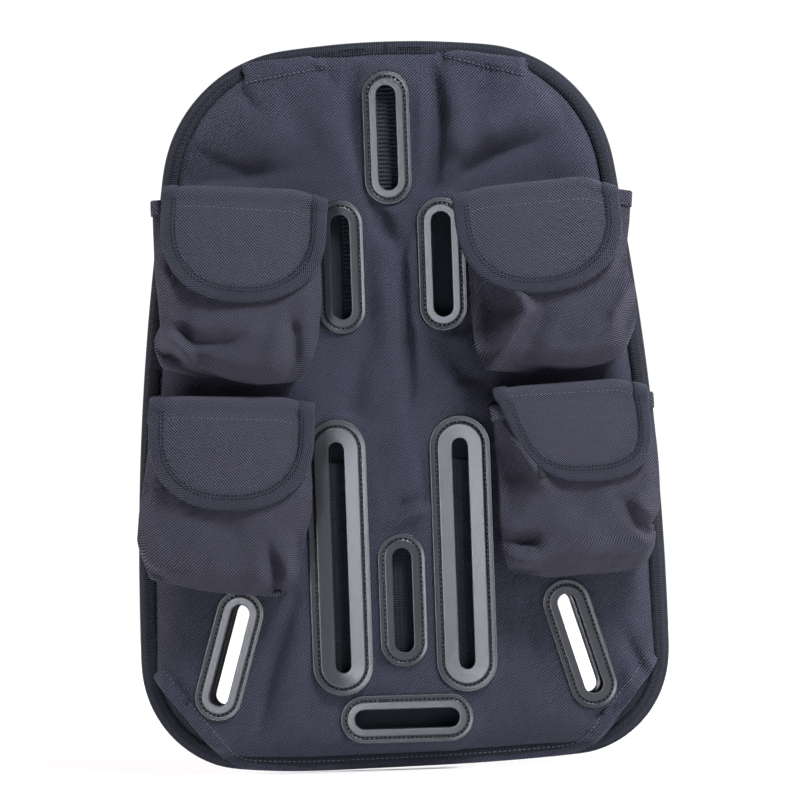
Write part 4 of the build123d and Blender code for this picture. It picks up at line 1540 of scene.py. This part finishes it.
def make_flap_cloth(pocket, straight):
    """A flap's sheet: sides straight down to a given length, then the round end."""
    full = pocket.flap["full"]
    length = pocket.flap["round"]

    def field(st):
        down = np.clip(st[:, 1] - straight, 0, None) * FLAP_HALF / length
        reach = (np.abs(st[:, 0]) ** full + down**full) ** (1 / full)
        return np.minimum(FLAP_HALF - reach, st[:, 1] - FLAP_START)

    low, high = (-FLAP_HALF, FLAP_START - FLAP_STEP), (FLAP_HALF, straight + length)
    st, quads = trimmed_grid(field, low, high, FLAP_STEP)
    p, n = surface_frame(pocket, st)
    points = pocket.place(p + n * 0.5)
    return sheet_piece(pocket.name + "_flap_cloth", points, quads, pocket.turned(n), CLOTH, flap_twill, st)


def make_flap_tape(pocket, edge, inward):
    """The tape folded round a flap's free edge."""
    rows, weave = [], []
    run = run_along(edge)
    wave = 0.12 * np.sin(run * 0.21) + 0.1 * np.sin(run * 0.47)
    for inside, height in FLAP_TAPE:
        q, m = surface_frame(pocket, edge + inward * (inside + wave[:, None] * (inside > 2)))
        rows.append(pocket.place(q + m * (height + 0.3 * wave[:, None])))
        weave.append(np.column_stack((run, np.full(len(edge), inside + (20 if height < 0 else 0)))))
    rows, weave = (np.transpose(each, (1, 0, 2)) for each in (rows, weave))
    return swept_piece(pocket.name + "_flap_tape", rows, bound_tape, weave)


def make_flap(pocket):
    """A flap with its tape and stitches; gives the length along it at which it turns down."""
    corner = flap_bend(pocket)
    straight = corner + pocket.flap["straight"] - 4
    cloth = make_flap_cloth(pocket, straight)
    edge = flap_outline(pocket, straight)
    inward = to_right(np.gradient(edge, axis=0))
    if inward[len(edge) // 2, 1] > 0:
        inward = -inward
    binding = make_flap_tape(pocket, edge, inward)
    lid = edge[:, 1] > corner + 1
    seams = []
    for inside, height, side in FLAP_SEAMS:
        q, m = surface_frame(pocket, (edge + inward * inside)[lid])
        seams.append((pocket.place(q + m * height), pocket.turned(m) * side, *FLAP_TAPE_STITCH))
    tape_stitches = stitch_piece(pocket.name + "_flap_tape_stitches", seams, black_thread)
    across = np.linspace(-FLAP_HALF + 8.2, FLAP_HALF - 8.2, 40)
    line = np.column_stack((across, corner + pocket.flap["line"] + across * 0.02))
    q, m = surface_frame(pocket, line)
    seam = (pocket.place(q + m * 0.62), pocket.turned(m), *FLAP_LINE_STITCH)
    line_stitches = stitch_piece(pocket.name + "_flap_line_stitches", [seam], pale_thread)
    for piece, slot, nodes in (
        (cloth, "pocket_fabric", ("_flap_root", "_flap_lid")),
        (binding, "flap_tape", ("_flap_binding",)),
    ):
        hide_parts(*(pocket.name + node for node in nodes))
        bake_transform(piece)
    place(tape_stitches, pocket.body, "flap_tape")
    place(line_stitches, pocket.body, "pocket_fabric")
    return corner


# Width left off a fastener's left side, where the flap in the photograph hides it
FASTENER_TRIM = {"lower_right_loop_pile": 7.0}
FASTENER_STEP = 1.4


def make_fastener(pocket, kind, body, surface, material, thick):
    """A rectangle of hook or loop tape lying on a surface, with a slightly ragged edge."""
    name = pocket.name + "_" + kind + "_pile"
    node = pocket.name + "_" + kind + "_patch"
    flat = pocket.local(node_points(node))
    a = np.arange(flat[:, 0].min() + FASTENER_TRIM.get(name, 0), flat[:, 0].max() + 0.01, FASTENER_STEP)
    b = np.arange(flat[:, 1].min() + 1, flat[:, 1].max() - 1, FASTENER_STEP)
    ab = np.array(np.meshgrid(a, b)).reshape(2, -1).T
    draw = np.random.default_rng(len(name))
    points, normals = surface(ab)
    edge = np.minimum.reduce([ab[:, 0] - a[0], a[-1] - ab[:, 0], ab[:, 1] - b[0], b[-1] - ab[:, 1]])
    lift = thick * (0.55 + 0.45 * smooth(edge, 0, 1.4)) + draw.uniform(-0.1, 0.1, len(ab))
    points = pocket.place(points + normals * lift[:, None])
    quads = grid_quads(len(b), len(a))[:, TURNED]
    piece = sheet_piece(name, points, quads, pocket.turned(normals), thick * 0.9, material, ab)
    place(piece, body, "fastener", node)


def make_fasteners(pocket, corner):
    """The loop pile on a pocket's bag and the hook pile inside its flap, which turns down at corner."""
    def bag_front(ab):
        return np.column_stack((ab, pocket.front(ab))), normals_of(pocket.front, ab)[:, [0, 2, 1]]

    def lid_back(ab):
        st = np.column_stack((ab[:, 0], corner - ab[:, 1] + 1.5))
        q, m = surface_frame(pocket, st)
        return q - m * 0.5, -m

    make_fastener(pocket, "loop", "root", bag_front, loop_pile, 0.9)
    make_fastener(pocket, "hook", pocket.body, lid_back, hook_pile, 0.8)


pocket_seams = []
for name in POCKET_LOOKS:
    pocket = Pocket(name)
    pocket_seams.append(make_pocket_hem(pocket, *make_bag(pocket)))
    make_fasteners(pocket, make_flap(pocket))
place(stitch_piece("mouth_hem_stitches", pocket_seams, pale_thread), "root", "pocket_fabric")


# ---------------------------------------------------------------- floor, light and camera

# In metres
FLOOR_RADIUS = 1.0
FLOOR_GAP = 0.0005


def make_floor():
    """A plain disc just under the pad."""
    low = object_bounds()[0].z - FLOOR_GAP
    turns = np.linspace(0, 2 * math.pi, 96, endpoint=False)
    ring = [(FLOOR_RADIUS * math.cos(t), FLOOR_RADIUS * math.sin(t), low) for t in turns]
    mesh = bpy.data.meshes.new("floor")
    mesh.from_pydata(ring, [], [tuple(range(len(ring)))])
    floor = bpy.data.objects.new("floor", mesh)
    bpy.context.scene.collection.objects.link(floor)
    m = Nodes("floor_paint")
    m.set(Base_Color=rgb(0.92, 0.92, 0.93), Roughness=0.7)
    mesh.materials.append(m.material)


def make_light(name, spot, aim, size, power, colour):
    """A rectangular area light: its spot, aim and size in metres, its power in watts."""
    lamp = bpy.data.lights.new(name, "AREA")
    lamp.shape = "RECTANGLE"
    lamp.size, lamp.size_y = size
    lamp.energy = power
    lamp.color = colour
    holder = bpy.data.objects.new(name, lamp)
    holder.location = spot
    holder.rotation_mode = "QUATERNION"
    holder.rotation_quaternion = (Vector(aim) - Vector(spot)).to_track_quat("-Z", "Y")
    holder.visible_camera = False
    bpy.context.scene.collection.objects.link(holder)
    return holder


# Strength of the world behind the camera and behind the pad
ROOM_LIGHT, WALL_LIGHT = 0.06, 1.05


def make_world():
    """A white studio wall behind the pad, and a darker room on the side it is seen from."""
    sky = bpy.data.worlds.new("studio")
    bpy.context.scene.world = sky
    sky.use_nodes = True
    tree = sky.node_tree
    paint = tree.nodes["Background"]
    where = tree.nodes.new("ShaderNodeTexCoord")
    parts = tree.nodes.new("ShaderNodeSeparateXYZ")
    wall = tree.nodes.new("ShaderNodeMapRange")
    wall.interpolation_type = "SMOOTHSTEP"
    levels = {"From Min": -0.15, "From Max": 0.75, "To Min": ROOM_LIGHT, "To Max": WALL_LIGHT}
    for key, value in levels.items():
        wall.inputs[key].default_value = value
    tree.links.new(where.outputs["Generated"], parts.inputs["Vector"])
    tree.links.new(parts.outputs["Y"], wall.inputs["Value"])
    tree.links.new(wall.outputs["Result"], paint.inputs["Strength"])
    paint.inputs["Color"].default_value = (1, 1, 1, 1)
    bpy.context.scene.view_settings.view_transform = "Standard"


# Millimetres that one pixel of the picture shows at the panel, and the picture's width in pixels
PIXEL = 0.5325
FRAME_PIXELS = 800
# The camera's distance from the panel, its place to the right and up, and its roll in degrees
CAMERA_DISTANCE = 1700.0
CAMERA_RIGHT, CAMERA_UP = 2.0, 1.6
CAMERA_ROLL = 2.0


def make_camera():
    """Straight in front of the pad, and rolled a little, as the pad is seen."""
    lens = bpy.data.cameras.new("camera")
    width = PIXEL * FRAME_PIXELS
    lens.lens = lens.sensor_width * CAMERA_DISTANCE / width
    camera = bpy.data.objects.new("camera", lens)
    camera.location = world((CAMERA_RIGHT, CAMERA_DISTANCE + PANEL, CAMERA_UP))
    camera.rotation_euler = (math.radians(90), math.radians(CAMERA_ROLL), 0)
    bpy.context.scene.collection.objects.link(camera)
    bpy.context.scene.camera = camera


# Lights: name, spot, point aimed at, size, power and colour
LIGHTS = (
    ("key", (0.6, -0.72, 1.1), (0, 0, 0.05), (0.4, 0.4), 32.5, (0.93, 0.96, 1.0)),
    ("gloss", (-0.5, -1.45, 0.0), (0, 0, 0), (0.28, 0.3), 29, (0.89, 0.915, 1.0)),
    ("fill", (1.5, -0.9, 0.35), (0, 0, 0), (0.8, 1.2), 9, (1.0, 0.90, 0.91)),
    ("left_rim", (-1.5, 0.1, 0.1), (0, 0, 0), (0.5, 1.2), 26, (1.0, 0.88, 0.90)),
    ("right_rim", (1.5, 0.15, 0.1), (0, 0, 0), (0.5, 1.2), 14, (1.0, 0.88, 0.90)),
    ("back", (0.4, 1.6, 1.2), (0, 0, 0), (1.4, 1.0), 24, (1.0, 1.0, 1.0)),
)


def make_lights():
    """All the lights, of which the gloss falls on the moulded patches only."""
    holders = {row[0]: make_light(*row) for row in LIGHTS}
    rubber = bpy.data.collections.new("rubber_pieces")
    for piece in bpy.data.objects:
        if piece.name.endswith("_moulding"):
            rubber.objects.link(piece)
    holders["gloss"].light_linking.receiver_collection = rubber


make_floor()
make_world()
make_lights()
make_camera()
